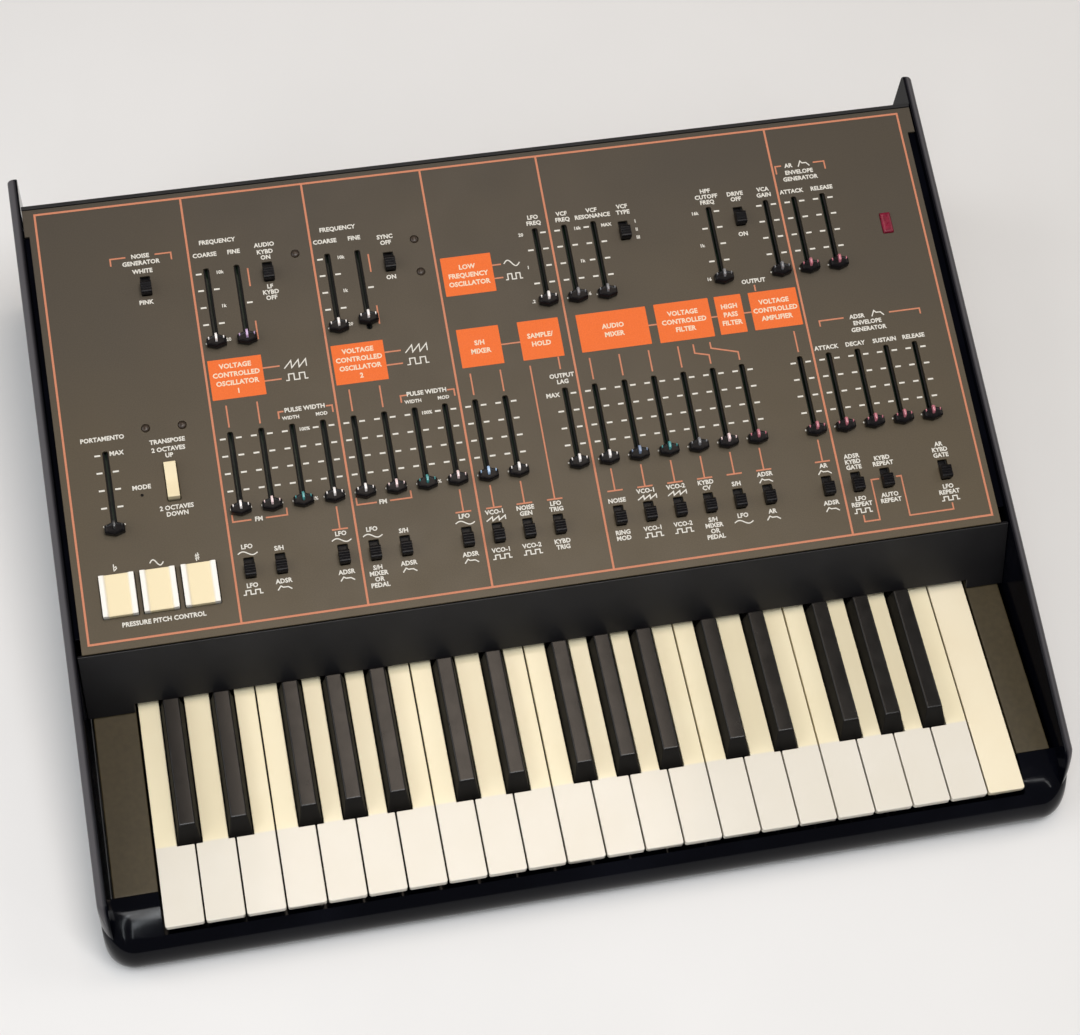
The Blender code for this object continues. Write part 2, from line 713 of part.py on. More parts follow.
def make_controls(panel_frame):
    """The controls that move on the panel."""
    slider = slider_mesh()
    lower = up_slope(UPPER_ROW)
    sliders = {
        "portamento_slider": (PORTAMENTO_COLUMN, up_slope(PORTAMENTO_ROW)),
        "osc1_coarse_slider": (0, lower),
        "osc1_fine_slider": (1, lower),
        "osc2_coarse_slider": (4, lower),
        "osc2_fine_slider": (5, up_slope(UPPER_ROW + RAISED_FINE_TUNE)),
        "lfo_rate_slider": (11, lower),
        "filter_cutoff_slider": (12, lower),
        "filter_resonance_slider": (13, lower),
        "amp_gain_slider": (19, lower),
    }
    for name, (number, y) in sliders.items():
        add_object(name, slider, "cap_black", panel_frame, (column(number), y, 0))
    switch = switch_mesh()
    switches = {"noise_switch": UPPER_SWITCHES[0], "filter_type_switch": UPPER_SWITCHES[3]}
    for name, (number, row) in switches.items():
        y = up_slope(row) - SWITCH_TRAVEL / 2
        add_object(name, switch, "cap_black", panel_frame, (column(number), y, 0))
    pad = pad_mesh()
    for name, x in zip(("flat_pad", "vibrato_pad", "sharp_pad"), PAD_CENTRES):
        add_object(name, pad, "pad_white", panel_frame, (across(x), up_slope(PAD_ROW), 0))
    rocker_place = (across(ROCKER_CENTRE[0]), up_slope(ROCKER_CENTRE[1]), 0)
    add_object("transpose_rocker", rocker_mesh(), "pad_white", panel_frame, rocker_place)


def main():
    clear_scene()
    panel_place = (0, depth(PANEL_ORIGIN_DEPTH), PANEL_ORIGIN_Z)
    panel_frame = add_object("panel_frame", None, location=panel_place)
    panel_frame.rotation_euler.x = PANEL_TILT
    plan_corners = make_plan_corners()
    make_base_shell(plan_corners)
    make_cheek("left_cheek", -1, plan_corners, panel_frame)
    make_cheek("right_cheek", 1, plan_corners, panel_frame)
    make_key_chassis()
    make_keyboard()
    make_apron()
    make_control_panel(panel_frame)
    make_circuit_board(panel_frame)
    make_rear_panel()
    make_controls(panel_frame)


main()
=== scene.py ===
"""Looks of the keyboard synthesizer: every visible piece and its material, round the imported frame.

Panel artwork and controls are placed in key pitches: x from the keyboard's left edge, v up the
panel's slope from its front edge. Everything else is in metres, in the frame's own axes.
"""

import json
import math

import bmesh
import bpy
from mathutils import Matrix, Vector


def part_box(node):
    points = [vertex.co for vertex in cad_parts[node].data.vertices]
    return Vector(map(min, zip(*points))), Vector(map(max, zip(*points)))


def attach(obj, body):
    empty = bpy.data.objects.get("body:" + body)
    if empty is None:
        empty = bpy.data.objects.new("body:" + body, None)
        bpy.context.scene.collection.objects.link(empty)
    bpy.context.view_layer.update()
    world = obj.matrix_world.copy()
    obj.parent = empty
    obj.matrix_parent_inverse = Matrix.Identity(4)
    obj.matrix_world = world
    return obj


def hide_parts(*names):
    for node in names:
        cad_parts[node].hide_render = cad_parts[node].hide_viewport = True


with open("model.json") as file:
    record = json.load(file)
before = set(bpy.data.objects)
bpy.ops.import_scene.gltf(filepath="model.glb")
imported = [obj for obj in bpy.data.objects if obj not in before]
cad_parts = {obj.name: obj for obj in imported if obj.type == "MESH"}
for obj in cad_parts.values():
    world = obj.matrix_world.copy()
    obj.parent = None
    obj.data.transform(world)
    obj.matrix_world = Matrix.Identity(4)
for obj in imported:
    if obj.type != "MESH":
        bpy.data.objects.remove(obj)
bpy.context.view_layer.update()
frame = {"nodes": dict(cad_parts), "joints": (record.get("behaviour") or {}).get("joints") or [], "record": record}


# ---------------------------------------------------------------- places taken from the frame


def middle(node):
    """Centre of a CAD node's box."""
    low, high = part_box(node)
    return (low + high) / 2


def joint_named(name):
    return next(j for j in frame["joints"] if j["name"] == name)


WHITES_APART = 21
PITCH = (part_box("key_C6")[0].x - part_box("key_C3")[0].x) / WHITES_APART
KEY_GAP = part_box("key_D3")[0].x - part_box("key_C3")[1].x
KEYBED_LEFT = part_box("key_C3")[0].x - KEY_GAP / 2
KEY_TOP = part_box("key_C3")[1].z
BLACK_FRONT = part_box("key_Cs3")[0].y

BODY_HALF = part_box("right_cheek")[1].x
BODY_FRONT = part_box("base_shell")[0].y
BODY_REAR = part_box("left_cheek")[1].y
BODY_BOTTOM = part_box("left_cheek")[0].z
INNER_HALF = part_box("base_shell")[1].x
BLOCK_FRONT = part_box("key_chassis")[0].y
BLOCK_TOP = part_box("key_chassis")[1].z
REAR_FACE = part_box("rear_panel")[1].y
FOOT_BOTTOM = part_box("base_shell")[0].z

# The panel's own frame: its x axis is the world's, its y axis runs up the slope.
ROCKER_PLACE = (1.66, 3.92)
SLOPE = Vector(joint_named("portamento_slide")["axis"])
TILT = math.atan2(SLOPE.z, SLOPE.y)
PANEL_FOOT = Vector(joint_named("transpose_rock")["pos_m"]) - SLOPE * ROCKER_PLACE[1] * PITCH
PANEL_FOOT.x = 0.0
PANEL = Matrix.Translation(PANEL_FOOT) @ Matrix.Rotation(TILT, 4, "X")


def across(pitches):
    """World x of a place counted in key pitches from the keyboard's left edge."""
    return KEYBED_LEFT + pitches * PITCH


def pitches_at(x):
    return (x - KEYBED_LEFT) / PITCH


FIRST_COLUMN = pitches_at(middle("osc1_coarse_slider").x)
COLUMN_STEP = (pitches_at(middle("amp_gain_slider").x) - FIRST_COLUMN) / 19


def column(number):
    """Place of a column of sliders, in key pitches."""
    return FIRST_COLUMN + number * COLUMN_STEP


def on_panel(x, v):
    """Panel point, in metres, of a place given in key pitches."""
    return Vector((across(x), v * PITCH))


# ---------------------------------------------------------------- sizes of the pieces

# Case: the lip is a quarter ellipse in side view, and so is each cheek's nose.
NOSE_Z = 0.012
CORNER_RADIUS = 0.018
CHEEK_FILLET = 0.0042
CHEEK_TOP_FRONT = 0.026
LIP_SIDE_TUCK = 0.0004
CHEEK_NOSE_TUCK = 0.0045
NOSE_REACH = 0.0015
CHEEK_REAR_ROUND = 0.003
CHEEK_INNER_ROUND = 0.0008
UNDER_ROUND = 0.003
TROUGH_SETBACK = 0.0085
TROUGH_GAP = 0.0015
FLOOR_THICKNESS = 0.003
PIECE_GAP = 0.0003
LEDGE_REACH = 0.0066
LEDGE_ENDS = (0.004, 0.272)
LEDGE_THICKNESS = 0.0060
VENT_SLIT = (0.0025, 0.040)
VENT_PLACE = (0.16, 0.06)
VENT_STEP = 0.006
VENT_SLITS = 12

# How far a cutter runs past what it cuts.
BEYOND = 0.01

# Feet and screws.
FOOT_HEIGHT = 0.004
FOOT_X = {"left": -0.245, "right": 0.245}
FOOT_Y = {"front": -0.205, "rear": 0.195}
FOOT_SCREW_SINK = 0.0012
FOOT_SCREW_RADIUS = 0.0026
REAR_SCREW_RADIUS = 0.0028
REAR_SCREW_X = (-0.276, -0.14, 0.0, 0.14, 0.276)
REAR_SCREW_Z = {"lower": 0.014, "upper": 0.128}

# Rear trim.
POWER_SWITCH = (0.118, 0.052)
POWER_SWITCH_FRAME = (0.0150, 0.0210)
POWER_SWITCH_WIDTH = 0.0104
SOCKET_RADII = {"jack": 0.0048, "din": 0.0078, "power": 0.0045}
USB_HOLE = (0.0122, 0.0110)
USB_SHELL = (0.0162, 0.0150)
USB_TONGUE = (0.0056, 0.0032)
DIN_PINS = 5
DIN_PIN_CIRCLE = 0.0042

# Panel sheet and its openings.
PANEL_FRONT = -0.0062
PANEL_REAR = 0.2780
PANEL_SHEET = 0.0020
PANEL_SIDES = (-0.2825, 0.2805)
PANEL_TAB_FRONT = 0.2604
PANEL_TAB_X = 0.2853
PANEL_EDGE = 0.0006
SLOT_WIDTH = 0.0035
SLOT_MARGINS = (0.0033, 0.0048)
SLIDER_TRAVEL = 0.045
SWITCH_SLOT = (0.0062, 0.0130)
SWITCH_TRAVEL = 0.0044
SWITCH_SKIRT = (0.0076, 0.0180)
ROCKER_SIZE = (0.0072, 0.0224)
ROCKER_SLOT = (0.0080, 0.0244)
PAD_SIZE = (0.0206, 0.0254)
PAD_HEIGHT = 0.0046
PAD_RIM = 0.0026
PAD_DISH = 0.0010
PAD_CLEARANCE = 0.0005
LENS_RADIUS = 0.0026
MODE_HOLE_RADIUS = 0.0009
DUST_STRIP_TOP = -PANEL_SHEET - 0.0002
DUST_STRIP_THICKNESS = 0.0007

# Rows and columns of controls.
LOWER_ROW = 2.91
UPPER_ROW = 7.48
SWITCH_ROW = 1.37
PAD_ROW = 1.12
PAD_CENTRES = (-0.035, 0.990, 2.020)
PORTAMENTO = (-4, 2.83)
RAISED_SLIDER = ("upper", 5)
RAISED_BY = 0.12
LOWER_SLIDERS = (*range(0, 10), *range(11, 18), *range(19, 24))
UPPER_SLIDERS = (0, 1, 4, 5, 11, 12, 13, 17, 19, 20, 21)
LOWER_SWITCHES = (0, 1, 3, 4, 5, 7, 8, 9, 10, *range(12, 18), 19, 20, 21, 23)
UPPER_SWITCHES = {-2: 9.31, 2: 9.30, 6: 9.16, 14: 9.22, 18: 9.22}
SMALL_LENSES = ((1.18, 5.43), (2.11, 5.39), (5.65, 9.71), (8.83, 9.71), (8.86, 8.77))
MODE_HOLE = (0.87, 3.66)
POWER_LAMP = (21.65, 8.50)
POWER_LAMP_SIZE = (0.0070, 0.0141)

# The controls that are bodies of their own in the frame.
MOVING_SLIDERS = {
    ("upper", 0): "osc1_coarse_slider",
    ("upper", 1): "osc1_fine_slider",
    ("upper", 4): "osc2_coarse_slider",
    ("upper", 5): "osc2_fine_slider",
    ("upper", 11): "lfo_rate_slider",
    ("upper", 12): "filter_cutoff_slider",
    ("upper", 13): "filter_resonance_slider",
    ("upper", 19): "amp_gain_slider",
    ("portamento", -4): "portamento_slider",
}
MOVING_SWITCHES = {-2: "noise_switch", 14: "filter_type_switch"}
PADS = dict(zip(("flat_pad", "vibrato_pad", "sharp_pad"), PAD_CENTRES))

# Print: height of its ink over the panel, and the widths of its lines.
INK_LOW, INK_HIGH = 0.00002, 0.00008
BORDER_LINE = 0.055
FINE_LINE = 0.040
TICK_LINE = 0.045
WAVE_LINE = 0.030
SIGN_LINE = 0.026

# Heights of the words' capitals.
BOX_CAPITALS = 0.125
CAPITALS = 0.112
SMALL_CAPITALS = 0.088


# ---------------------------------------------------------------- materials


class Paint:
    """Material in the making, with one Principled shader; its methods return outputs to feed it."""

    def __init__(self, name, **sockets):
        self.material = bpy.data.materials.new(name)
        self.material.use_nodes = True
        self.tree = self.material.node_tree
        self.shader = self.tree.nodes["Principled BSDF"]
        for socket, value in sockets.items():
            self.shader.inputs[socket.replace("_", " ")].default_value = value

    def feed(self, socket, value):
        """Links an output to one of the shader's sockets."""
        self.tree.links.new(value, self.shader.inputs[socket])

    def node(self, kind, **sockets):
        """Node whose inputs are set to values or linked to outputs, by name."""
        node = self.tree.nodes.new(f"ShaderNode{kind}")
        for name, value in sockets.items():
            socket = node.inputs[name.replace("_", " ")]
            if isinstance(value, bpy.types.NodeSocket):
                self.tree.links.new(value, socket)
            else:
                socket.default_value = value
        return node

    def axis(self, letter, source="Object"):
        """The piece's own x, y or z: of a place in metres, or with "Normal" of a surface's direction."""
        vector = self.node("TexCoord").outputs[source]
        return self.node("SeparateXYZ", Vector=vector).outputs[letter]

    def noise(self, scale, detail=4.0, stretch=None):
        """Noise in the piece's own axes; stretch lengthens it along an axis."""
        place = self.node("TexCoord").outputs["Object"]
        if stretch:
            place = self.node("Mapping", Vector=place, Scale=stretch).outputs["Vector"]
        texture = self.node("TexNoise", Vector=place, Scale=scale, Detail=detail, Roughness=0.55)
        return texture.outputs["Fac"]

    def remap(self, value, low, high, start=0.3, end=0.7):
        """Value from start to end, taken to low to high."""
        limits = {"From_Min": start, "From_Max": end, "To_Min": low, "To_Max": high}
        return self.node("MapRange", Value=value, **limits).outputs["Result"]

    def maths(self, operation, *values):
        """Result of a maths operation on outputs."""
        node = self.node("Math")
        node.operation = operation
        for value, socket in zip(values, node.inputs):
            self.tree.links.new(value, socket)
        return node.outputs["Value"]

    def ramp(self, value, *stops):
        """Colour ramp of (position, colour) stops."""
        node = self.node("ValToRGB", Fac=value)
        elements = node.color_ramp.elements
        while len(elements) < len(stops):
            elements.new(0.5)
        for element, (position, colour) in zip(elements, stops):
            element.position = position
            element.color = (*colour, 1.0)
        return node.outputs["Color"]

    def two_tone(self, value, colours, start=0.30, end=0.70):
        """Colour that goes from the first of two colours to the second."""
        return self.ramp(value, (start, colours[0]), (end, colours[1]))

    def blend(self, tones, share):
        """Blend of two colour outputs by a share from 0 to 1."""
        mix = self.node("Mix")
        mix.data_type = "RGBA"
        colours = [socket for socket in mix.inputs if socket.type == "RGBA"]
        for tone, socket in zip(tones, colours):
            self.tree.links.new(tone, socket)
        self.tree.links.new(share, mix.inputs["Factor"])
        return next(socket for socket in mix.outputs if socket.type == "RGBA")

    def bump(self, *layers):
        """Bump from (height output, strength, depth in metres) layers, one on the next."""
        under = {}
        for height, strength, distance in layers:
            bump = self.node("Bump", Height=height, Strength=strength, Distance=distance, **under)
            under = {"Normal": bump.outputs["Normal"]}
        self.feed("Normal", under["Normal"])


def moulded(name, colours, patch, roughness, smudge, grain, **sockets):
    """Plastic, paint or metal: patchy colour, smudged roughness and a fine grain.

    colours is (dark, light); patch and smudge are noise scales; roughness is (low, high);
    grain is (noise scale, strength, depth).
    """
    paint = Paint(name, **sockets)
    paint.feed("Base Color", paint.two_tone(paint.noise(patch), colours))
    paint.feed("Roughness", paint.remap(paint.noise(smudge, detail=6.0), *roughness))
    scale, strength, depth = grain
    paint.bump((paint.noise(scale, detail=2.0), strength, depth))
    return paint.material


def case_material(name, shine, edge_shine, painted_sheen_tone):
    """Polished black moulding, slightly wavy; the outer half of its top edge is painted lighter, a painted sheen
    that stands for the reflection of bright surroundings.
    """
    paint = Paint(name, Specular_IOR_Level=shine)
    from_middle = paint.maths("ABSOLUTE", paint.axis("X"))
    outer_part = {"start": BODY_HALF - 0.0052, "end": BODY_HALF - 0.0034}
    outside = paint.remap(from_middle, 0.0, 1.0, **outer_part)
    upward = paint.remap(paint.axis("Z", "Normal"), 0.0, 1.0, start=0.02, end=0.30)
    edge = paint.maths("MULTIPLY", outside, upward)
    if edge_shine != shine:
        paint.feed("Specular IOR Level", paint.remap(outside, shine, edge_shine, start=0.0, end=1.0))
    share = paint.maths("ADD", edge, paint.remap(paint.noise(14.0), -0.06, 0.06))
    dark, light = (0.0018, 0.0020, 0.0038), (0.0034, 0.0038, 0.0068)
    # painted sheen: upward-facing parts of the outer top edge take the lighter last tone, a painted reflection
    paint.feed("Base Color", paint.ramp(share, (0.0, dark), (0.06, light), (1.0, painted_sheen_tone)))
    polish = paint.remap(paint.noise(55.0, detail=8.0), 0.05, 0.13)
    duller = paint.remap(edge, 0.0, 0.24, start=0.0, end=1.0)
    paint.feed("Roughness", paint.maths("ADD", polish, duller))
    waves = paint.noise(22.0, detail=1.0)
    marks = paint.noise(240.0, detail=3.0, stretch=(1.0, 0.08, 1.0))
    paint.bump((waves, 0.10, 0.0004), (marks, 0.04, 0.00005))
    return paint.material


def panel_paint_material():
    """Fine textured brown-grey paint on steel, painted a little lighter towards the player: a painted pool of
    light.
    """
    paint = Paint("panel_brown", Specular_IOR_Level=0.42)
    speckle = paint.noise(1500.0, detail=2.0)
    # The front tones are lighter than the rear ones: painted light, blended in up the slope.
    front = ((0.064, 0.0460, 0.0220), (0.086, 0.0625, 0.0305))
    rear = ((0.044, 0.0350, 0.0235), (0.060, 0.0475, 0.0325))
    tones = [paint.two_tone(speckle, colours, 0.32, 0.68) for colours in (front, rear)]
    depth = paint.remap(paint.axis("Y"), 0.0, 1.0, start=0.0, end=PANEL_REAR)
    cloud = paint.remap(paint.noise(9.0, detail=3.0), -0.15, 0.15)
    paint.feed("Base Color", paint.blend(tones, paint.maths("ADD", depth, cloud)))
    paint.feed("Roughness", paint.remap(paint.noise(30.0, detail=6.0), 0.43, 0.52))
    coarse, fine = paint.noise(900.0, detail=2.0), paint.noise(2600.0, detail=2.0)
    paint.bump((coarse, 0.20, 0.00008), (fine, 0.22, 0.00005))
    return paint.material


# Head tones are paler and bluer: a painted reflection. Tail tones are lightened: painted light against the shade
# of the apron and black keys.
WHITE_HEAD_PAINTED_REFLECTION = ((0.780, 0.735, 0.640), (0.805, 0.765, 0.680))
WHITE_TAIL_PAINTED_LIGHT = ((0.900, 0.805, 0.565), (0.930, 0.845, 0.610))
# The last white key has one ivory all over, without the painted reflection.
LAST_WHITE_KEY = ((0.885, 0.790, 0.585), (0.915, 0.830, 0.630))
IVORY_GLOSS = (0.09, 0.16)
IVORY_GRAIN = (700, 0.02, 0.00002)


def white_key_material():
    """Glossy ivory plastic, slightly stained; ahead of the black keys a paler, bluer tone is a painted reflection,
    and behind that the ivory is painted lighter to lift the shade of the apron and black keys.
    """
    paint = Paint("key_white", Specular_IOR_Level=0.4)
    stained = paint.noise(26.0)
    tones = [paint.two_tone(stained, colours) for colours in (WHITE_HEAD_PAINTED_REFLECTION, WHITE_TAIL_PAINTED_LIGHT)]
    # the painted reflection ends at the black keys' fronts
    step = {"start": BLACK_FRONT - 0.0010, "end": BLACK_FRONT + 0.0004}
    paint.feed("Base Color", paint.blend(tones, paint.remap(paint.axis("Y"), 0.0, 1.0, **step)))
    paint.feed("Roughness", paint.remap(paint.noise(120.0, detail=6.0), *IVORY_GLOSS))
    scale, strength, depth = IVORY_GRAIN
    paint.bump((paint.noise(scale, detail=2.0), strength, depth))
    return paint.material


def black_key_material():
    """Black plastic, polished on top and matt down the sides."""
    paint = Paint("key_black")
    colours = ((0.0052, 0.0046, 0.0042), (0.0088, 0.0079, 0.0074))
    paint.feed("Base Color", paint.two_tone(paint.noise(60.0), colours))
    upward = paint.remap(paint.axis("Z", "Normal"), 0.0, 1.0, start=0.35, end=0.85)
    paint.feed("Specular IOR Level", paint.remap(upward, 0.06, 0.42, start=0.0, end=1.0))
    matt = paint.remap(upward, 0.60, 0.24, start=0.0, end=1.0)
    smudged = paint.remap(paint.noise(90.0, detail=6.0), -0.04, 0.04)
    paint.feed("Roughness", paint.maths("ADD", matt, smudged))
    paint.bump((paint.noise(1400.0, detail=2.0), 0.05, 0.00002))
    return paint.material


def pad_material():
    """Cream rubber pad whose side rims are painted paler, a painted highlight."""
    paint = Paint("pad_white", Specular_IOR_Level=0.4)
    half = PAD_SIZE[0] / 2
    from_middle = paint.maths("ABSOLUTE", paint.axis("X"))
    # painted highlight: the colour turns paler towards the side rims
    share = paint.remap(from_middle, 0.0, 1.0, start=half - 2 * PAD_RIM, end=half)
    colours = ((0.84, 0.725, 0.475), (0.90, 0.875, 0.82))
    paint.feed("Base Color", paint.two_tone(share, colours, 0.25, 0.5))
    paint.feed("Roughness", paint.remap(paint.noise(300.0), 0.38, 0.52))
    paint.bump((paint.noise(1800.0, detail=2.0), 0.12, 0.00004))
    return paint.material


def board_material():
    """Green circuit board with lighter tracks under the solder mask; its green is darkened, painted shade for the
    inside of the case.
    """
    paint = Paint("board_green", Specular_IOR_Level=0.5)
    tracks = paint.noise(160.0, detail=1.0, stretch=(1.0, 0.12, 1.0))
    # The green is kept near black as painted shade under the panel's openings.
    colours = ((0.003, 0.014, 0.006), (0.006, 0.030, 0.012))
    paint.feed("Base Color", paint.two_tone(tracks, colours, 0.46, 0.52))
    paint.feed("Roughness", paint.remap(paint.noise(80.0), 0.30, 0.45))
    paint.bump((tracks, 0.3, 0.00005))
    return paint.material


def lens_material(name, colours, glow):
    """Tinted clear plastic over a faint lamp."""
    paint = Paint(name, IOR=1.40, Transmission_Weight=0.15, Emission_Strength=glow)
    tint = paint.two_tone(paint.noise(400.0), colours)
    paint.feed("Base Color", tint)
    paint.feed("Emission Color", tint)
    paint.feed("Roughness", paint.remap(paint.noise(600.0), 0.24, 0.38))
    paint.bump((paint.noise(900.0), 0.08, 0.00005))
    return paint.material


# Plain materials: (dark, light), then colour patches, roughness, smudges and grain.
PLAIN = {
    "apron_black": (
        ((0.0058, 0.0056, 0.0066), (0.0105, 0.0102, 0.0115)),
        (25, (0.34, 0.46), 40, (1800, 0.15, 0.00005)),
    ),
    "chassis_brown": (
        ((0.040, 0.030, 0.0125), (0.053, 0.040, 0.0175)),
        (300, (0.40, 0.52), 60, (1400, 0.22, 0.00006)),
    ),
    "cap_black": (
        ((0.003, 0.003, 0.004), (0.007, 0.006, 0.007)),
        (400, (0.24, 0.38), 500, (3000, 0.12, 0.00003)),
    ),
    "rear_black": (
        ((0.012, 0.012, 0.013), (0.020, 0.020, 0.021)),
        (40, (0.40, 0.55), 60, (2200, 0.25, 0.00005)),
    ),
    "rubber": (
        ((0.010, 0.010, 0.010), (0.020, 0.020, 0.019)),
        (200, (0.65, 0.85), 300, (2500, 0.40, 0.00008)),
    ),
    "felt": (
        ((0.006, 0.006, 0.006), (0.014, 0.013, 0.012)),
        (900, (0.85, 0.98), 900, (4000, 0.60, 0.00015)),
    ),
}
METALS = {
    "steel": (((0.42, 0.42, 0.43), (0.58, 0.58, 0.58)), (300, (0.22, 0.40), 400, (1500, 0.10, 0.00004))),
    "brass": (((0.55, 0.40, 0.16), (0.70, 0.54, 0.25)), (300, (0.25, 0.40), 400, (1500, 0.10, 0.00004))),
}
INKS = {
    "ink_orange": ((0.76, 0.136, 0.024), (0.84, 0.170, 0.032)),
    "ink_line": ((0.53, 0.195, 0.105), (0.61, 0.240, 0.140)),
    "ink_white": ((0.66, 0.64, 0.58), (0.76, 0.74, 0.68)),
    "ink_cream": ((0.80, 0.62, 0.44), (0.86, 0.70, 0.54)),
}
TINTS = {
    "white": (0.86, 0.82, 0.80),
    "pinkish": (0.80, 0.62, 0.62),
    "teal": (0.07, 0.29, 0.29),
    "blue": (0.38, 0.55, 0.78),
    "slate": (0.22, 0.28, 0.40),
    "grey": (0.20, 0.20, 0.21),
    "lilac": (0.55, 0.40, 0.62),
    "rose": (0.50, 0.17, 0.21),
    "dark": (0.05, 0.05, 0.05),
}


def make_materials():
    """Every material, by name."""
    made = {
        # the last colour of each case material is a painted sheen on its outer top edge
        "gloss_black": case_material("gloss_black", 0.16, 0.16, (0.0060, 0.0062, 0.0090)),
        "cheek_black": case_material("cheek_black", 0.03, 0.20, (0.074, 0.070, 0.076)),
        "panel_brown": panel_paint_material(),
        "key_white": white_key_material(),
        "key_black": black_key_material(),
        "pad_white": pad_material(),
        "board_green": board_material(),
        "lens_dark": lens_material("lens_dark", ((0.036, 0.025, 0.018), (0.060, 0.042, 0.030)), 0.0),
        "lens_red": lens_material("lens_red", ((0.12, 0.002, 0.014), (0.22, 0.006, 0.032)), 0.20),
    }
    ivory = (26, IVORY_GLOSS, 120, IVORY_GRAIN)
    made["key_cream"] = moulded("key_cream", LAST_WHITE_KEY, *ivory, Specular_IOR_Level=0.4)
    for name, (colours, surface) in PLAIN.items():
        shine = 0.14 if name == "cap_black" else 0.42
        made[name] = moulded(name, colours, *surface, Specular_IOR_Level=shine)
    for name, (colours, surface) in METALS.items():
        made[name] = moulded(name, colours, *surface, Metallic=1.0)
    ink = (1200, (0.50, 0.66), 300, (2600, 0.15, 0.00003))
    for name, colours in INKS.items():
        made[name] = moulded(name, colours, *ink, Specular_IOR_Level=0.25)
    clear = (500, (0.20, 0.34), 500, (2600, 0.10, 0.00003))
    for name, colour in TINTS.items():
        lighter = tuple(1.15 * part for part in colour)
        made[name] = moulded(f"insert_{name}", (colour, lighter), *clear)
    return made


MATERIALS = make_materials()


# ---------------------------------------------------------------- mesh helpers


def finished_mesh(name, bm):
    """Mesh of a bmesh, which is freed, with its faces turned outwards."""
    bmesh.ops.recalc_face_normals(bm, faces=bm.faces)
    mesh = bpy.data.meshes.new(name)
    bm.to_mesh(mesh)
    bm.free()
    return mesh


def add_piece(name, bm, material, body="case", slot=None, place=None, stands_for=(), sharp=35):
    """Piece from a bmesh, placed, shaded, painted and carried by a body."""
    mesh = finished_mesh(name, bm)
    return add_mesh_piece(name, mesh, material, body, place, stands_for, sharp)


def add_mesh_piece(name, mesh, material, body, place, stands_for=(), sharp=35):
    """Piece from a finished mesh, which other pieces may share."""
    if not mesh.materials:
        mesh.materials.append(MATERIALS[material])
        mesh.shade_smooth()
        mesh.set_sharp_from_angle(angle=math.radians(sharp))
    piece = bpy.data.objects.new(name, mesh)
    bpy.context.scene.collection.objects.link(piece)
    if place:
        piece.matrix_world = place
    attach(piece, body)
    if stands_for:
        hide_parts(*stands_for)
    return piece


def even_normals(piece):
    """Keeps large flat faces flat in shading beside their rounded edges."""
    modifier = piece.modifiers.new("even_normals", "WEIGHTED_NORMAL")
    modifier.keep_sharp = True
    return piece


def round_edges(bm, width, segments=3, angle=38, above=-1.0):
    """Rounds every edge that is sharper than the angle and reaches above a height."""
    bmesh.ops.recalc_face_normals(bm, faces=bm.faces)
    limit = math.radians(angle)
    high = [e for e in bm.edges if max(corner.co.z for corner in e.verts) > above]
    edges = [e for e in high if len(e.link_faces) == 2 and e.calc_face_angle(0) > limit]
    settings = {"offset": width, "segments": segments, "profile": 0.5, "affect": "EDGES"}
    bmesh.ops.bevel(bm, geom=edges, clamp_overlap=True, **settings)


def loft(bm, rings, capped=True):
    """Skin through rings of the same number of points."""
    made = [[bm.verts.new(point) for point in ring] for ring in rings]
    count = len(made[0])
    for lower, upper in zip(made, made[1:]):
        for i in range(count):
            j = (i + 1) % count
            bm.faces.new((lower[i], lower[j], upper[j], upper[i]))
    if capped:
        bm.faces.new(made[0][::-1])
        bm.faces.new(made[-1])


def add_prism(bm, outline, low, high, axis="z"):
    """Prism over a flat outline, along an axis."""

    def placed(first, second, along):
        return {"x": (along, first, second), "y": (first, along, second), "z": (first, second, along)}[axis]

    loft(bm, [[placed(*point, level) for point in outline] for level in (low, high)])


def rectangle(x_low, x_high, y_low, y_high):
    return [(x_low, y_low), (x_high, y_low), (x_high, y_high), (x_low, y_high)]


def centred(x, y, width, height):
    return rectangle(x - width / 2, x + width / 2, y - height / 2, y + height / 2)


def rounded(x, y, width, height, radius, steps=4):
    """Rectangle with rounded corners."""
    points = []
    for side_x, side_y, start in ((1, -1, -90), (1, 1, 0), (-1, 1, 90), (-1, -1, 180)):
        middle_x = x + side_x * (width / 2 - radius)
        middle_y = y + side_y * (height / 2 - radius)
        for i in range(steps + 1):
            turn = math.radians(start + 90 * i / steps)
            points.append((middle_x + radius * math.cos(turn), middle_y + radius * math.sin(turn)))
    return points


def circle(x, y, radius, count=24):
    turns = [math.tau * i / count for i in range(count)]
    return [(x + radius * math.cos(turn), y + radius * math.sin(turn)) for turn in turns]


def turned(bm, profile, centre, count=32, axis="z"):
    """Round piece turned from a (radius, height) profile, standing on a centre point."""
    rings = []
    for radius, height in profile:
        ring = []
        for first, second in circle(0.0, 0.0, radius, count):
            offset = (first, second, height) if axis == "z" else (first, height, second)
            ring.append(Vector(centre) + Vector(offset))
        rings.append(ring)
    loft(bm, rings)


def carve(bm, cutter):
    """What is left of a bmesh when a cutter, another bmesh, is taken away from it."""
    meshes = [finished_mesh("carving", part) for part in (bm, cutter)]
    objects = [bpy.data.objects.new("carving", mesh) for mesh in meshes]
    for obj in objects:
        bpy.context.scene.collection.objects.link(obj)
    modifier = objects[0].modifiers.new("carve", "BOOLEAN")
    modifier.operation = "DIFFERENCE"
    modifier.object = objects[1]
    graph = bpy.context.evaluated_depsgraph_get()
    result = bmesh.new()
    result.from_mesh(objects[0].evaluated_get(graph).to_mesh())
    for obj in objects:
        bpy.data.objects.remove(obj)
    for mesh in meshes:
        bpy.data.meshes.remove(mesh)
    return result


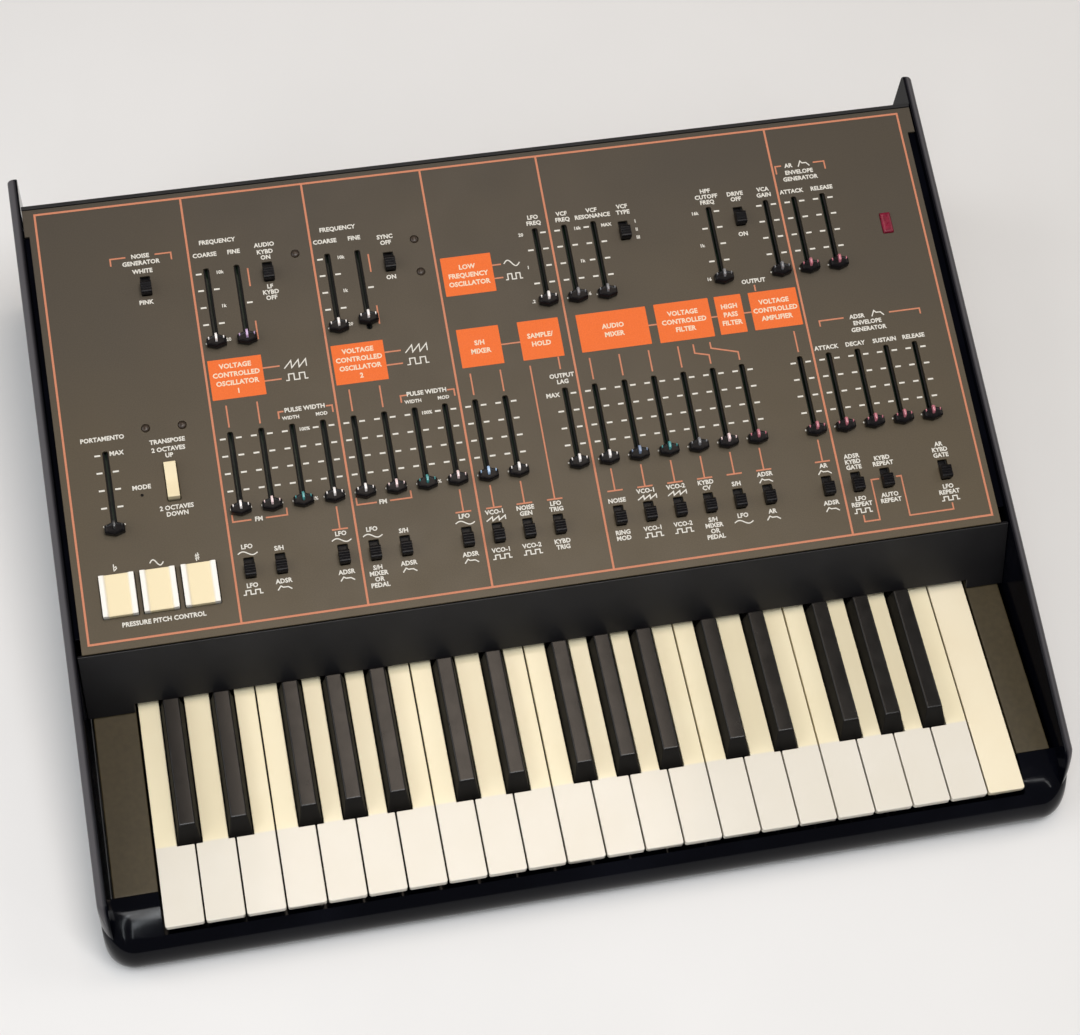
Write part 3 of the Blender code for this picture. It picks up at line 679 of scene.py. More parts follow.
def cad_mesh(node):
    """CAD node's shape as a bmesh with whole flat faces."""
    bm = bmesh.new()
    bm.from_mesh(frame["nodes"][node].data)
    bmesh.ops.remove_doubles(bm, verts=bm.verts, dist=1e-6)
    bmesh.ops.dissolve_limit(bm, angle_limit=math.radians(1), verts=bm.verts, edges=bm.edges)
    return bm


def refine(node, name, material, slot, body="case", width=0.0006, segments=3, above=-1.0):
    """Piece that stands for a CAD node, with the node's shape and rounded edges."""
    bm = cad_mesh(node)
    round_edges(bm, width, segments, above=above)
    piece = even_normals(add_piece(name, bm, material, body, slot, stands_for=[node], sharp=50))
    split = piece.modifiers.new("split_many_sided_faces", "TRIANGULATE")
    split.min_vertices = 5
    split.keep_custom_normals = True
    return piece


def add_strip(bm, points, width, closed=False):
    """Printed line of even width along flat points, as a thin closed solid."""
    points = [Vector(point) for point in points]
    count = len(points)
    rows = []
    for i, point in enumerate(points):
        steps = []
        if i > 0 or closed:
            steps.append((point - points[i - 1]).normalized())
        if i < count - 1 or closed:
            steps.append((points[(i + 1) % count] - point).normalized())
        along = sum(steps, Vector((0.0, 0.0))).normalized()
        side = Vector((-along.y, along.x))
        edge = Vector((-steps[0].y, steps[0].x))
        reach = side * (width / 2 / max(0.4, side.dot(edge)))
        left, right = point + reach, point - reach
        round_it = ((left, INK_HIGH), (right, INK_HIGH), (right, INK_LOW), (left, INK_LOW))
        rows.append([bm.verts.new((corner.x, corner.y, z)) for corner, z in round_it])
    pairs = list(zip(rows, rows[1:]))
    if closed:
        pairs.append((rows[-1], rows[0]))
    for start, end in pairs:
        for i in range(4):
            j = (i + 1) % 4
            bm.faces.new((start[i], start[j], end[j], end[i]))
    if not closed:
        bm.faces.new(rows[0][::-1])
        bm.faces.new(rows[-1])


# ---------------------------------------------------------------- case


def corner_setback(x):
    """How far the rounded front corner sets the front edge back at a place across the body."""
    inward = BODY_HALF - abs(x)
    if inward >= CORNER_RADIUS:
        return 0.0
    return CORNER_RADIUS - math.sqrt(CORNER_RADIUS**2 - (CORNER_RADIUS - max(0.0, inward)) ** 2)


def lip_section(x, steps=20):
    """Side view of the lip at a place across the body, as points."""
    nose = BODY_FRONT - NOSE_REACH + corner_setback(x)
    run, rise = BLOCK_FRONT - nose, BLOCK_TOP - NOSE_Z
    points = [(x, BLOCK_FRONT, BODY_BOTTOM), (x, nose + 2 * UNDER_ROUND, BODY_BOTTOM)]
    drop = NOSE_Z - BODY_BOTTOM
    for i in range(1, 6):
        turn = math.radians(18 * i)
        y = nose + 2 * UNDER_ROUND * (1 - math.sin(turn))
        points.append((x, y, NOSE_Z - drop * math.cos(turn)))
    for i in range(1, steps + 1):
        turn = math.pi / 2 * i / steps
        points.append((x, BLOCK_FRONT - run * math.cos(turn), NOSE_Z + rise * math.sin(turn)))
    return points


def corner_places(half, steps=12):
    """Places across the body, closer together round its corners."""
    inner = BODY_HALF - CORNER_RADIUS
    shares = [math.sin(math.pi / 2 * (i / steps)) for i in range(steps + 1)]
    side = [inner + (half - inner) * share for share in shares]
    return [-x for x in reversed(side)] + [0.0] + side


def make_lip():
    """Curved gloss lip in front of the keys, with a trough that the keys dip into."""
    bm = bmesh.new()
    loft(bm, [lip_section(x) for x in corner_places(BODY_HALF - LIP_SIDE_TUCK)])
    trough = bmesh.new()
    left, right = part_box("key_C3")[0].x - TROUGH_GAP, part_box("key_C6")[1].x + TROUGH_GAP
    outline = rectangle(left, right, BODY_FRONT + TROUGH_SETBACK, BLOCK_FRONT + BEYOND)
    add_prism(trough, outline, BODY_BOTTOM + FLOOR_THICKNESS, BLOCK_TOP + BEYOND)
    bm = carve(bm, trough)
    piece = add_piece("front_lip", bm, "gloss_black", slot="gloss_black", stands_for=["base_shell"])
    even_normals(piece)


def make_floor_pan():
    """Bottom of the case, with two groups of ventilation slits."""
    bm = bmesh.new()
    front = BLOCK_FRONT + PIECE_GAP
    outline = rounded(0.0, (front + REAR_FACE) / 2, 2 * INNER_HALF, REAR_FACE - front, 0.002)
    add_prism(bm, outline, BODY_BOTTOM, BODY_BOTTOM + FLOOR_THICKNESS)
    slits = bmesh.new()
    group_x, y = VENT_PLACE
    for side in (-1, 1):
        for i in range(VENT_SLITS):
            x = side * group_x + (i - (VENT_SLITS - 1) / 2) * VENT_STEP
            slit = rounded(x, y, *VENT_SLIT, VENT_SLIT[0] / 2)
            add_prism(slits, slit, -BEYOND, BODY_BOTTOM + FLOOR_THICKNESS + BEYOND)
    bm = carve(bm, slits)
    even_normals(add_piece("floor_pan", bm, "rear_black", slot="gloss_black"))


def make_feet():
    """Rubber foot with a screw in its middle, at each corner of the floor."""
    foot = [(0.0068, -FOOT_HEIGHT), (0.0080, -FOOT_HEIGHT + 0.0006), (0.0090, -0.0002), (0.0086, 0.0)]
    recess = [(0.0030, -0.0012), (0.0034, -FOOT_HEIGHT + 0.0004), (0.0040, -FOOT_HEIGHT)]
    for row, y in FOOT_Y.items():
        for side, x in FOOT_X.items():
            bm = bmesh.new()
            turned(bm, recess + foot, (x, y, BODY_BOTTOM))
            add_piece(f"foot_{row}_{side}", bm, "rubber", slot="gloss_black", sharp=45)
            centre = (x, y, BODY_BOTTOM - FOOT_SCREW_SINK)
            make_screw(f"foot_screw_{row}_{side}", centre, math.pi, FOOT_SCREW_RADIUS)


def make_screw(name, centre, tilt, radius):
    """Domed cross-head screw that faces up, then is tilted about the x axis."""
    bm = bmesh.new()
    dome = [(radius, 0.0), (radius, 0.2 * radius), (0.9 * radius, 0.42 * radius)]
    dome += [(0.6 * radius, 0.62 * radius), (0.25 * radius, 0.70 * radius)]
    turned(bm, dome, (0.0, 0.0, 0.0), 20)
    cross = bmesh.new()
    reach, half = 0.62 * radius, 0.13 * radius
    quarter = [Vector((reach, -half)), Vector((reach, half)), Vector((half, half))]
    outline = [Matrix.Rotation(math.pi / 2 * turn, 2) @ corner for turn in range(4) for corner in quarter]
    add_prism(cross, outline, 0.25 * radius, radius)
    bm = carve(bm, cross)
    place = Matrix.Translation(centre) @ Matrix.Rotation(tilt, 4, "X")
    add_piece(name, bm, "steel", place=place, sharp=30)


def cheek_section(side, inward, drop, steps=20):
    """Side view of a cheek at a distance in from its outer face, its top lowered by a drop."""
    x = side * (BODY_HALF - inward)
    rise = math.tan(TILT)

    def panel_z(y):
        return PANEL_FOOT.z + (y - PANEL_FOOT.y) * rise - drop

    top_front = BODY_FRONT + CHEEK_TOP_FRONT
    points = [(x, BODY_REAR, BODY_BOTTOM)]
    for i in range(5):
        turn = math.radians(22.5 * i)
        y = BODY_REAR - CHEEK_REAR_ROUND * (1 - math.cos(turn))
        z = panel_z(BODY_REAR) - CHEEK_REAR_ROUND * (1 - math.sin(turn))
        points.append((x, y, z))
    height = panel_z(top_front) - NOSE_Z
    run = CHEEK_TOP_FRONT - corner_setback(x) - CHEEK_NOSE_TUCK
    for i in range(steps + 1):
        turn = math.pi / 2 * i / steps
        points.append((x, top_front - run * math.sin(turn), NOSE_Z + height * math.cos(turn)))
    points.append((x, top_front - run + 2 * UNDER_ROUND, BODY_BOTTOM))
    return points


def make_cheek(side_name, side):
    """Side cheek, rounded over to the outside; its nose follows the body's rounded corner."""
    thickness = BODY_HALF - INNER_HALF - PIECE_GAP
    inner_edge = ((0.0, 1.0), (0.3, 0.3), (1.0, 0.0))
    sections = [(thickness - x * CHEEK_INNER_ROUND, z * CHEEK_INNER_ROUND) for x, z in inner_edge]
    steps = 10
    for i in range(steps + 1):
        turn = math.pi / 2 * i / steps
        sections.append((CHEEK_FILLET * (1 - math.sin(turn)), CHEEK_FILLET * (1 - math.cos(turn))))
    bm = bmesh.new()
    loft(bm, [cheek_section(side, inward, drop) for inward, drop in sections])
    node = f"{side_name}_cheek"
    piece = add_piece(f"{node}_shell", bm, "cheek_black", slot="gloss_black", stands_for=[node], sharp=40)
    even_normals(piece)
    ledge = bmesh.new()
    inner = BODY_HALF - thickness
    reach = sorted((side * (inner - LEDGE_REACH), side * (inner - 0.0001)))
    top = -PANEL_SHEET - PIECE_GAP
    add_prism(ledge, rectangle(*reach, *LEDGE_ENDS), top - LEDGE_THICKNESS, top)
    round_edges(ledge, 0.0005, 2)
    name = f"{side_name}_panel_ledge"
    even_normals(add_piece(name, ledge, "cheek_black", slot="gloss_black", place=PANEL))


# ---------------------------------------------------------------- panel sheet


def slider_places():
    """(row name, column, v of the slider at rest) of every slider."""
    places = [("lower", number, LOWER_ROW) for number in LOWER_SLIDERS]
    places += [("upper", number, UPPER_ROW) for number in UPPER_SLIDERS]
    places.append(("portamento", *PORTAMENTO))
    return places


def switch_places():
    """(row name, column, v of the slot's middle) of every slide switch."""
    places = [("lower", number, SWITCH_ROW) for number in LOWER_SWITCHES]
    return places + [("upper", number, v) for number, v in UPPER_SWITCHES.items()]


def panel_outline():
    """Outline of the sheet, with a tab at each rear corner."""
    left, right = PANEL_SIDES
    tab_front, rear = PANEL_TAB_FRONT, PANEL_REAR
    points = [(left, PANEL_FRONT), (right, PANEL_FRONT), (right, tab_front), (PANEL_TAB_X, tab_front)]
    points += [(PANEL_TAB_X, rear), (-PANEL_TAB_X, rear), (-PANEL_TAB_X, tab_front), (left, tab_front)]
    return points


def panel_openings():
    """Outlines of all the holes in the sheet."""
    holes = []
    low, high = SLOT_MARGINS
    for _, number, v in slider_places():
        x, y = on_panel(column(number), v)
        middle_y = y + (SLIDER_TRAVEL + high - low) / 2
        holes.append(rounded(x, middle_y, SLOT_WIDTH, SLIDER_TRAVEL + low + high, 0.0012, 3))
    for _, number, v in switch_places():
        holes.append(rounded(*on_panel(column(number), v), *SWITCH_SLOT, 0.0006, 2))
    size = [side + 2 * PAD_CLEARANCE for side in PAD_SIZE]
    for centre in PADS.values():
        holes.append(rounded(*on_panel(centre, PAD_ROW), *size, 0.0008, 2))
    holes.append(rounded(*on_panel(*ROCKER_PLACE), *ROCKER_SLOT, 0.0008, 2))
    for place in SMALL_LENSES:
        holes.append(circle(*on_panel(*place), LENS_RADIUS, 20))
    holes.append(circle(*on_panel(*MODE_HOLE), MODE_HOLE_RADIUS, 12))
    holes.append(rounded(*on_panel(*POWER_LAMP), *POWER_LAMP_SIZE, 0.0006, 2))
    return holes


def curve_sheet(name, outlines, thickness, edge):
    """Flat sheet with holes and softly rounded edges; its top face is at height zero."""
    curve = bpy.data.curves.new(name, "CURVE")
    curve.dimensions = "2D"
    curve.fill_mode = "BOTH"
    curve.extrude = thickness / 2 - edge
    curve.bevel_depth = edge
    curve.bevel_resolution = 2
    curve.offset = -edge
    for outline in outlines:
        spline = curve.splines.new("POLY")
        spline.points.add(len(outline) - 1)
        for point, (x, y) in zip(spline.points, outline):
            point.co = (x, y, 0.0, 1.0)
        spline.use_cyclic_u = True
    return text_meshes([curve], [(0.0, 0.0, -thickness / 2)])


def text_meshes(curves, places):
    """One bmesh with the shapes of curves or texts, each moved to its place."""
    holders = []
    for curve, place in zip(curves, places):
        holder = bpy.data.objects.new("holder", curve)
        holder.location = place
        bpy.context.scene.collection.objects.link(holder)
        holders.append(holder)
    graph = bpy.context.evaluated_depsgraph_get()
    bm = bmesh.new()
    for holder in holders:
        mesh = bpy.data.meshes.new_from_object(holder.evaluated_get(graph))
        mesh.transform(Matrix.Translation(holder.location))
        bm.from_mesh(mesh)
        bpy.data.meshes.remove(mesh)
    for holder in holders:
        bpy.data.objects.remove(holder)
    for curve in curves:
        bpy.data.curves.remove(curve)
    bmesh.ops.remove_doubles(bm, verts=bm.verts, dist=1e-7)
    return bm


def make_panel():
    """Sloping panel with all its openings."""
    outlines = [panel_outline(), *panel_openings()]
    bm = curve_sheet("panel_sheet", outlines, PANEL_SHEET, PANEL_EDGE / 2)
    settings = {"slot": "panel_brown", "place": PANEL, "stands_for": ["control_panel"], "sharp": 50}
    even_normals(add_piece("panel_sheet", bm, "panel_brown", **settings))


def make_dust_strips():
    """Felt strips under every slot, split down the middle for the stems."""
    under_slider = (0.0007, 0.0042, -0.0045, SLIDER_TRAVEL + 0.0060)
    under_switch = (0.0023, 0.0050, -0.0085, 0.0085)
    strips = [(number, v, *under_slider) for _, number, v in slider_places()]
    strips += [(number, v, *under_switch) for _, number, v in switch_places()]
    bm = bmesh.new()
    for number, v, near, far, front, rear in strips:
        x, y = on_panel(column(number), v)
        for side in (-1, 1):
            sides = sorted((x + side * near, x + side * far))
            outline = rectangle(*sides, y + front, y + rear)
            add_prism(bm, outline, DUST_STRIP_TOP - DUST_STRIP_THICKNESS, DUST_STRIP_TOP)
    add_piece("slot_dust_strips", bm, "felt", slot="board_green", place=PANEL)


# ---------------------------------------------------------------- sliders and switches


def ring_points(half_width, side, front, rear, z):
    """Six-sided ring: straight sides at left and right, a point at front and rear."""
    front_half = [(-half_width, -side, z), (0.0, -front, z), (half_width, -side, z)]
    return front_half + [(half_width, side, z), (0.0, rear, z), (-half_width, side, z)]


def slider_cap_mesh():
    """Black cap: six-sided, pointed towards the player, scooped on top, on a flat stem."""
    bm = bmesh.new()
    rings = (
        (0.0006, 0.0020, 0.0022, 0.0022, -0.0075),
        (0.0006, 0.0020, 0.0022, 0.0022, 0.0007),
        (0.0058, 0.0022, 0.0040, 0.0044, 0.0007),
        (0.0061, 0.0023, 0.0042, 0.0046, 0.0014),
        (0.0060, 0.0021, 0.0040, 0.0044, 0.0050),
        (0.0052, 0.0017, 0.0033, 0.0037, 0.0060),
        (0.0042, 0.0012, 0.0023, 0.0028, 0.0056),
    )
    loft(bm, [ring_points(*ring) for ring in rings])
    round_edges(bm, 0.00035, 2, 25)
    return finished_mesh("slider_cap", bm)


def slider_insert_mesh():
    """Tinted insert: an upright fin over the rear half of the cap and a low ridge at each side."""
    bm = bmesh.new()
    fin = [(-0.0010, 0.0054), (0.0042, 0.0052), (0.0040, 0.0078), (0.0028, 0.0087), (0.0000, 0.0084)]
    add_prism(bm, fin, -0.0007, 0.0007, "x")
    ridge = [(0.0006, 0.0054), (0.0026, 0.0046), (0.0024, 0.0066), (0.0012, 0.0068)]
    for side in (-1, 1):
        low, high = sorted((side * 0.0042, side * 0.0049))
        add_prism(bm, ridge, low, high, "x")
    round_edges(bm, 0.0002, 2)
    return finished_mesh("slider_insert", bm)


LOWER_TINTS = {
    "white": (0, 3, 4, 9, 11, 12),
    "pinkish": (1, 5, 7, 16),
    "teal": (2, 6, 14),
    "blue": (8,),
    "slate": (13,),
    "grey": (15,),
    "rose": (17, 19, 20, 21, 22, 23),
}
UPPER_TINTS = {"white": (0, 4, 5, 11), "lilac": (1,), "grey": (12, 13, 17, 19), "rose": (20, 21)}


def insert_tint(row, number):
    """Tint of a slider's insert."""
    if row == "portamento":
        return "dark"
    tints = LOWER_TINTS if row == "lower" else UPPER_TINTS
    return next(tint for tint, numbers in tints.items() if number in numbers)


def add_cap(name, mesh, node, place):
    """Cap of a control; it rides on the node it stands for, or on the case if it has none."""
    stands_for = [node] if node else []
    body = node or "case"
    even_normals(add_mesh_piece(f"{name}_cap", mesh, "cap_black", body, place, stands_for))


def make_sliders():
    """All 34 sliders; nine of them are bodies of their own."""
    cap = slider_cap_mesh()
    shape = slider_insert_mesh()
    inserts = {}
    for row, number, v in slider_places():
        if (row, number) == RAISED_SLIDER:
            v += RAISED_BY
        place = PANEL @ Matrix.Translation((*on_panel(column(number), v), 0.0))
        node = MOVING_SLIDERS.get((row, number))
        name = node or f"{row}_slider_{number:02d}"
        add_cap(name, cap, node, place)
        tint = insert_tint(row, number)
        if tint not in inserts:
            inserts[tint] = shape.copy()
        insert = inserts[tint]
        add_mesh_piece(f"{name}_insert", insert, tint, node or "case", place, sharp=40)


def switch_cap_mesh():
    """Slide switch cap with finger ridges across its top, on a short stem."""
    outline = [(-0.0040, 0.0006), (-0.0040, 0.0044), (-0.0034, 0.0054)]
    crest, groove = 0.0056, 0.0052
    for i in range(4):
        start = -0.0027 + 0.0016 * i
        ridge = ((0.0, crest), (0.0006, crest), (0.0009, groove), (0.0013, groove))
        outline += [(start + along, up) for along, up in ridge]
    outline = outline[:-2]
    outline += [(0.0034, 0.0054), (0.0040, 0.0044), (0.0040, 0.0006)]
    bm = bmesh.new()
    add_prism(bm, outline, -0.0033, 0.0033, "x")
    add_prism(bm, centred(0.0, 0.0, 0.0040, 0.0044), -0.0060, 0.0005)
    add_prism(bm, centred(0.0, 0.0, *SWITCH_SKIRT), -0.0038, -0.0032)
    round_edges(bm, 0.00025, 2)
    return finished_mesh("switch_cap", bm)


def make_switches():
    """All 24 slide switches, each at the lower end of its slot."""
    cap = switch_cap_mesh()
    for row, number, v in switch_places():
        x, y = on_panel(column(number), v)
        place = PANEL @ Matrix.Translation((x, y - SWITCH_TRAVEL / 2, 0.0))
        node = MOVING_SWITCHES.get(number) if row == "upper" else None
        add_cap(node or f"{row}_switch_{number:02d}", cap, node, place)


def make_pads():
    """Pitch pads: a sunk face between two raised side rims."""
    half, face = PAD_SIZE[0] / 2, PAD_HEIGHT - PAD_DISH
    outline = [(-half, -0.0050), (half, -0.0050), (half, PAD_HEIGHT), (half - PAD_RIM, PAD_HEIGHT)]
    outline += [(half - PAD_RIM - 0.0012, face), (-half + PAD_RIM + 0.0012, face)]
    outline += [(-half + PAD_RIM, PAD_HEIGHT), (-half, PAD_HEIGHT)]
    for node, centre in PADS.items():
        bm = bmesh.new()
        add_prism(bm, outline, -PAD_SIZE[1] / 2, PAD_SIZE[1] / 2, "y")
        round_edges(bm, 0.0004, 3, 30)
        place = PANEL @ Matrix.Translation((*on_panel(centre, PAD_ROW), 0.0))
        settings = {"body": node, "slot": "pad_white", "place": place, "stands_for": [node]}
        even_normals(add_piece(f"{node}_face", bm, "pad_white", **settings))


def make_rocker():
    """Transpose rocker, lowest in its middle, with finger ridges at each end."""
    width, length = ROCKER_SIZE
    half = length / 2
    points = [(-half, -0.0030), (half, -0.0030), (half, 0.0046)]
    steps = 12
    for i in range(steps + 1):
        y = (half - 0.0004) * (1 - 2 * i / steps)
        points.append((y, 0.0028 + 0.0026 * abs(y / half) ** 1.4))
    points.append((-half, 0.0046))
    bm = bmesh.new()
    add_prism(bm, points, -width / 2, width / 2, "x")
    round_edges(bm, 0.0004, 3, 40)
    place = PANEL @ Matrix.Translation((*on_panel(*ROCKER_PLACE), 0.0))
    node = "transpose_rocker"
    settings = {"body": node, "slot": "pad_white", "place": place, "stands_for": [node]}
    even_normals(add_piece(f"{node}_face", bm, "pad_white", **settings))


def make_lenses():
    """Five small dark lenses, the pin hole's sleeve and the red power lamp."""
    radius = LENS_RADIUS - 0.0002
    dome = [(radius, -0.0030), (radius, -0.0002)]
    for i in range(1, 6):
        turn = math.radians(15 * i)
        dome.append((radius * math.cos(turn), -0.0002 + 0.0011 * math.sin(turn)))
    for i, place in enumerate(SMALL_LENSES):
        bm = bmesh.new()
        turned(bm, dome, (*on_panel(*place), 0.0), 28)
        add_piece(f"indicator_lens_{i + 1}", bm, "lens_dark", slot="cap_black", place=PANEL, sharp=50)
    sleeve = [(0.00045, -0.0004), (0.00045, -0.0040), (0.00085, -0.0040), (0.00085, -0.0004)]
    bm = bmesh.new()
    turned(bm, sleeve, (*on_panel(*MODE_HOLE), 0.0), 16)
    add_piece("mode_pin_sleeve", bm, "cap_black", slot="cap_black", place=PANEL)
    bm = bmesh.new()
    width, height = (side - 0.0003 for side in POWER_LAMP_SIZE)
    x, y = on_panel(*POWER_LAMP)
    levels = ((0.0, -0.0030), (0.0, 0.0006), (0.0005, 0.0011), (0.0016, 0.0013))
    rings = []
    for inset, z in levels:
        outline = rounded(x, y, width - 2 * inset, height - 2 * inset, 0.0004)
        rings.append([(*point, z) for point in outline])
    loft(bm, rings)
    even_normals(add_piece("power_lamp_lens", bm, "lens_red", slot="cap_black", place=PANEL, sharp=50))


# ---------------------------------------------------------------- print on the panel

BORDER = (-0.92, 22.65, -0.035, 11.67)
DIVIDERS = (2.88, 6.09, 9.28, 12.45, 18.84)
BOXES = (
    (("VOLTAGE", "CONTROLLED", "OSCILLATOR", "1"), 2.97, 4.36, 5.92, 7.02),
    (("VOLTAGE", "CONTROLLED", "OSCILLATOR", "2"), 6.18, 7.55, 5.90, 7.00),
    (("LOW", "FREQUENCY", "OSCILLATOR"), 9.41, 10.76, 7.96, 9.06),
    (("S/H", "MIXER"), 9.50, 10.62, 5.92, 7.00),
    (("SAMPLE/", "HOLD"), 11.13, 12.23, 5.91, 7.00),
    (("AUDIO", "MIXER"), 12.71, 14.60, 5.92, 6.99),
    (("VOLTAGE", "CONTROLLED", "FILTER"), 14.83, 16.32, 5.90, 7.00),
    (("HIGH", "PASS", "FILTER"), 16.49, 17.22, 5.91, 7.00),
    (("VOLTAGE", "CONTROLLED", "AMPLIFIER"), 17.43, 18.75, 5.91, 6.99),
)
BOX_LINE_STEP = 0.235
# Level links are (left, right, v), upright ones (x, v, v).
LEVEL_LINKS = (
    (4.36, 4.80, 6.64),
    (4.36, 4.80, 6.28),
    (7.55, 7.98, 6.64),
    (7.55, 7.98, 6.28),
    (10.76, 11.0, 8.69),
    (10.76, 11.0, 8.31),
    (10.62, 11.13, 6.44),
    (14.60, 14.83, 6.44),
    (16.32, 16.49, 6.44),
    (17.22, 17.43, 6.44),
)
UPRIGHT_LINKS = (
    (17.66, 7.02, 7.20),
    (12.05, 5.90, 5.55),
    (4.36, 9.46, 8.95),
    (4.36, 7.97, 7.45),
    (7.55, 9.44, 8.93),
    (7.55, 7.97, 7.45),
)
BENT_LINKS = (
    ((15.68, 5.75), (15.68, 5.50), (16.05, 5.40), (16.05, 5.15)),
    ((16.14, 5.75), (16.14, 5.58), (16.84, 5.38), (16.84, 5.15)),
    ((19.23, 0.45), (19.23, 0.27), (19.64, 0.27), (19.64, 1.37), (19.86, 1.37)),
    ((20.32, 1.37), (20.46, 1.37), (20.46, 0.27), (21.66, 0.27), (21.66, 0.45)),
)
# Brackets: (left end, end of left part, start of right part, right end), v, v of the legs' tips.
BRACKETS = (
    ((0.86, 1.26, 2.02, 2.44), 10.17, 9.97),
    ((3.03, 3.50, 3.87, 4.42), 2.62, 2.81),
    ((6.21, 6.72, 7.06, 7.62), 2.62, 2.81),
    ((4.58, 4.72, 5.82, 5.98), 5.39, 5.20),
    ((7.77, 7.94, 9.00, 9.18), 5.39, 5.20),
    ((18.93, 19.10, 20.00, 20.31), 10.53, 10.30),
    ((19.20, 19.88, 21.15, 22.0), 5.94, 5.78),
)
BOX_TO_SLIDER = (0, 1, 4, 5, 8, 9, 12, 13, 14, 15, 19)
SLIDER_TO_SWITCH = (3, 7, 8, 9, 12, 13, 14, 15, 16, 17, 19)
LONG_LINE_COLUMN = 10
UNDER_BOXES = 5.75
OVER_LOWER_SLOTS = 5.15
UNDER_LOWER_SLOTS = 2.66
SWITCH_BAR_V = 2.05
SWITCH_BAR_HALF = 0.205

LOWER_TICKS = (4.85, 4.38, 3.91, 3.44, 2.96)
UPPER_TICKS = (9.45, 8.98, 8.50, 8.02, 7.50)
FINE_TUNE_COLUMNS = (1, 5)
TICK = (0.13, 0.28)
# Ticks that words may stand in for, counted from the top.
FIRST, MIDDLE, LAST = 0, 2, 4

# Words on the panel: x of each column of words, and the v of each word in it.
LABELS = (
    (1.64, {"NOISE": 10.17, "GENERATOR": 9.98}),
    (1.65, {"WHITE": 9.74}),
    (1.64, {"PINK": 8.86}),
    (0.06, {"PORTAMENTO": 5.29}),
    (0.37, {"MAX": 4.87}),
    (1.68, {"TRANSPOSE": 5.02, "2 OCTAVES": 4.80, "UP": 4.63}),
    (1.69, {"2 OCTAVES": 3.23, "DOWN": 3.06}),
    (0.88, {"MODE": 3.87}),
    (1.0, {"PRESSURE PITCH CONTROL": 0.36}),
    (3.69, {"FM": 2.62}),
    (6.88, {"FM": 2.62}),
    (3.67, {"FREQUENCY": 10.33}),
    (3.30, {"COARSE": 9.98}),
    (4.06, {"FINE": 9.98}),
    (4.88, {"AUDIO": 10.07}),
    (4.87, {"KYBD": 9.87, "ON": 9.71, "LF": 8.88}),
    (4.87, {"KYBD": 8.72, "OFF": 8.56}),
    (6.85, {"FREQUENCY": 10.28}),
    (6.47, {"COARSE": 9.95}),
    (7.25, {"FINE": 9.95}),
    (8.06, {"SYNC": 9.88, "OFF": 9.71, "ON": 8.72}),
    (5.27, {"PULSE WIDTH": 5.41}),
    (8.46, {"PULSE WIDTH": 5.41}),
    (12.07, {"LFO": 9.92, "FREQ": 9.75}),
    (12.86, {"VCF": 9.92, "FREQ": 9.75}),
    (13.68, {"VCF": 9.92, "RESONANCE": 9.75}),
    (14.52, {"VCF": 9.92, "TYPE": 9.75}),
    (16.86, {"HPF": 10.07, "CUTOFF": 9.90, "FREQ": 9.74}),
    (17.66, {"DRIVE": 9.89, "OFF": 9.73, "ON": 8.70, "OUTPUT": 7.32}),
    (18.45, {"VCA": 9.92, "GAIN": 9.75}),
    (12.05, {"OUTPUT": 5.37, "LAG": 5.20}),
    (11.72, {"MAX": 4.85}),
    (19.30, {"AR": 10.52}),
    (19.56, {"ENVELOPE": 10.31, "GENERATOR": 10.12}),
    (19.23, {"ATTACK": 9.76}),
    (20.08, {"RELEASE": 9.76}),
    (20.25, {"ADSR": 5.94}),
    (20.50, {"ENVELOPE": 5.75, "GENERATOR": 5.56}),
    (19.23, {"ATTACK": 5.18}),
    (20.03, {"DECAY": 5.18}),
    (20.85, {"SUSTAIN": 5.18}),
    (21.66, {"RELEASE": 5.18}),
)
# Places of scale words: x from the slot's middle, and v.
RIGHT_OF_SLOT = ((0.34, 9.45), (0.32, 8.50), (0.32, 7.55))
LEFT_OF_SLOT = ((-0.40, 9.45), (-0.38, 8.50), (-0.38, 7.52))
LEFT_OF_RATE_SLOT = ((-0.40, 9.45), (-0.36, 8.50), (-0.38, 7.52))
# Scale words of the sliders: column, words and the place of each.
SLIDER_SCALES = (
    (0, ("10k", "1k", "20"), RIGHT_OF_SLOT),
    (4, ("10k", "1k", "20"), RIGHT_OF_SLOT),
    (11, ("20", "1", ".2"), LEFT_OF_RATE_SLOT),
    (12, ("16k", "1k", "16"), RIGHT_OF_SLOT),
    (13, ("MAX",), RIGHT_OF_SLOT),
    (14, ("I", "II", "III"), ((0.34, 9.45), (0.34, 9.21), (0.34, 8.98))),
    (17, ("16k", "1k", "16"), LEFT_OF_SLOT),
    (2, ("WIDTH", "100%", "5%"), ((0.0, 5.20), (0.30, 4.85), (0.30, 2.95))),
    (3, ("MOD",), ((0.0, 5.20),)),
    (6, ("WIDTH", "100%", "5%"), ((0.0, 5.20), (0.30, 4.85), (0.30, 2.95))),
    (7, ("MOD",), ((0.0, 5.20),)),
)
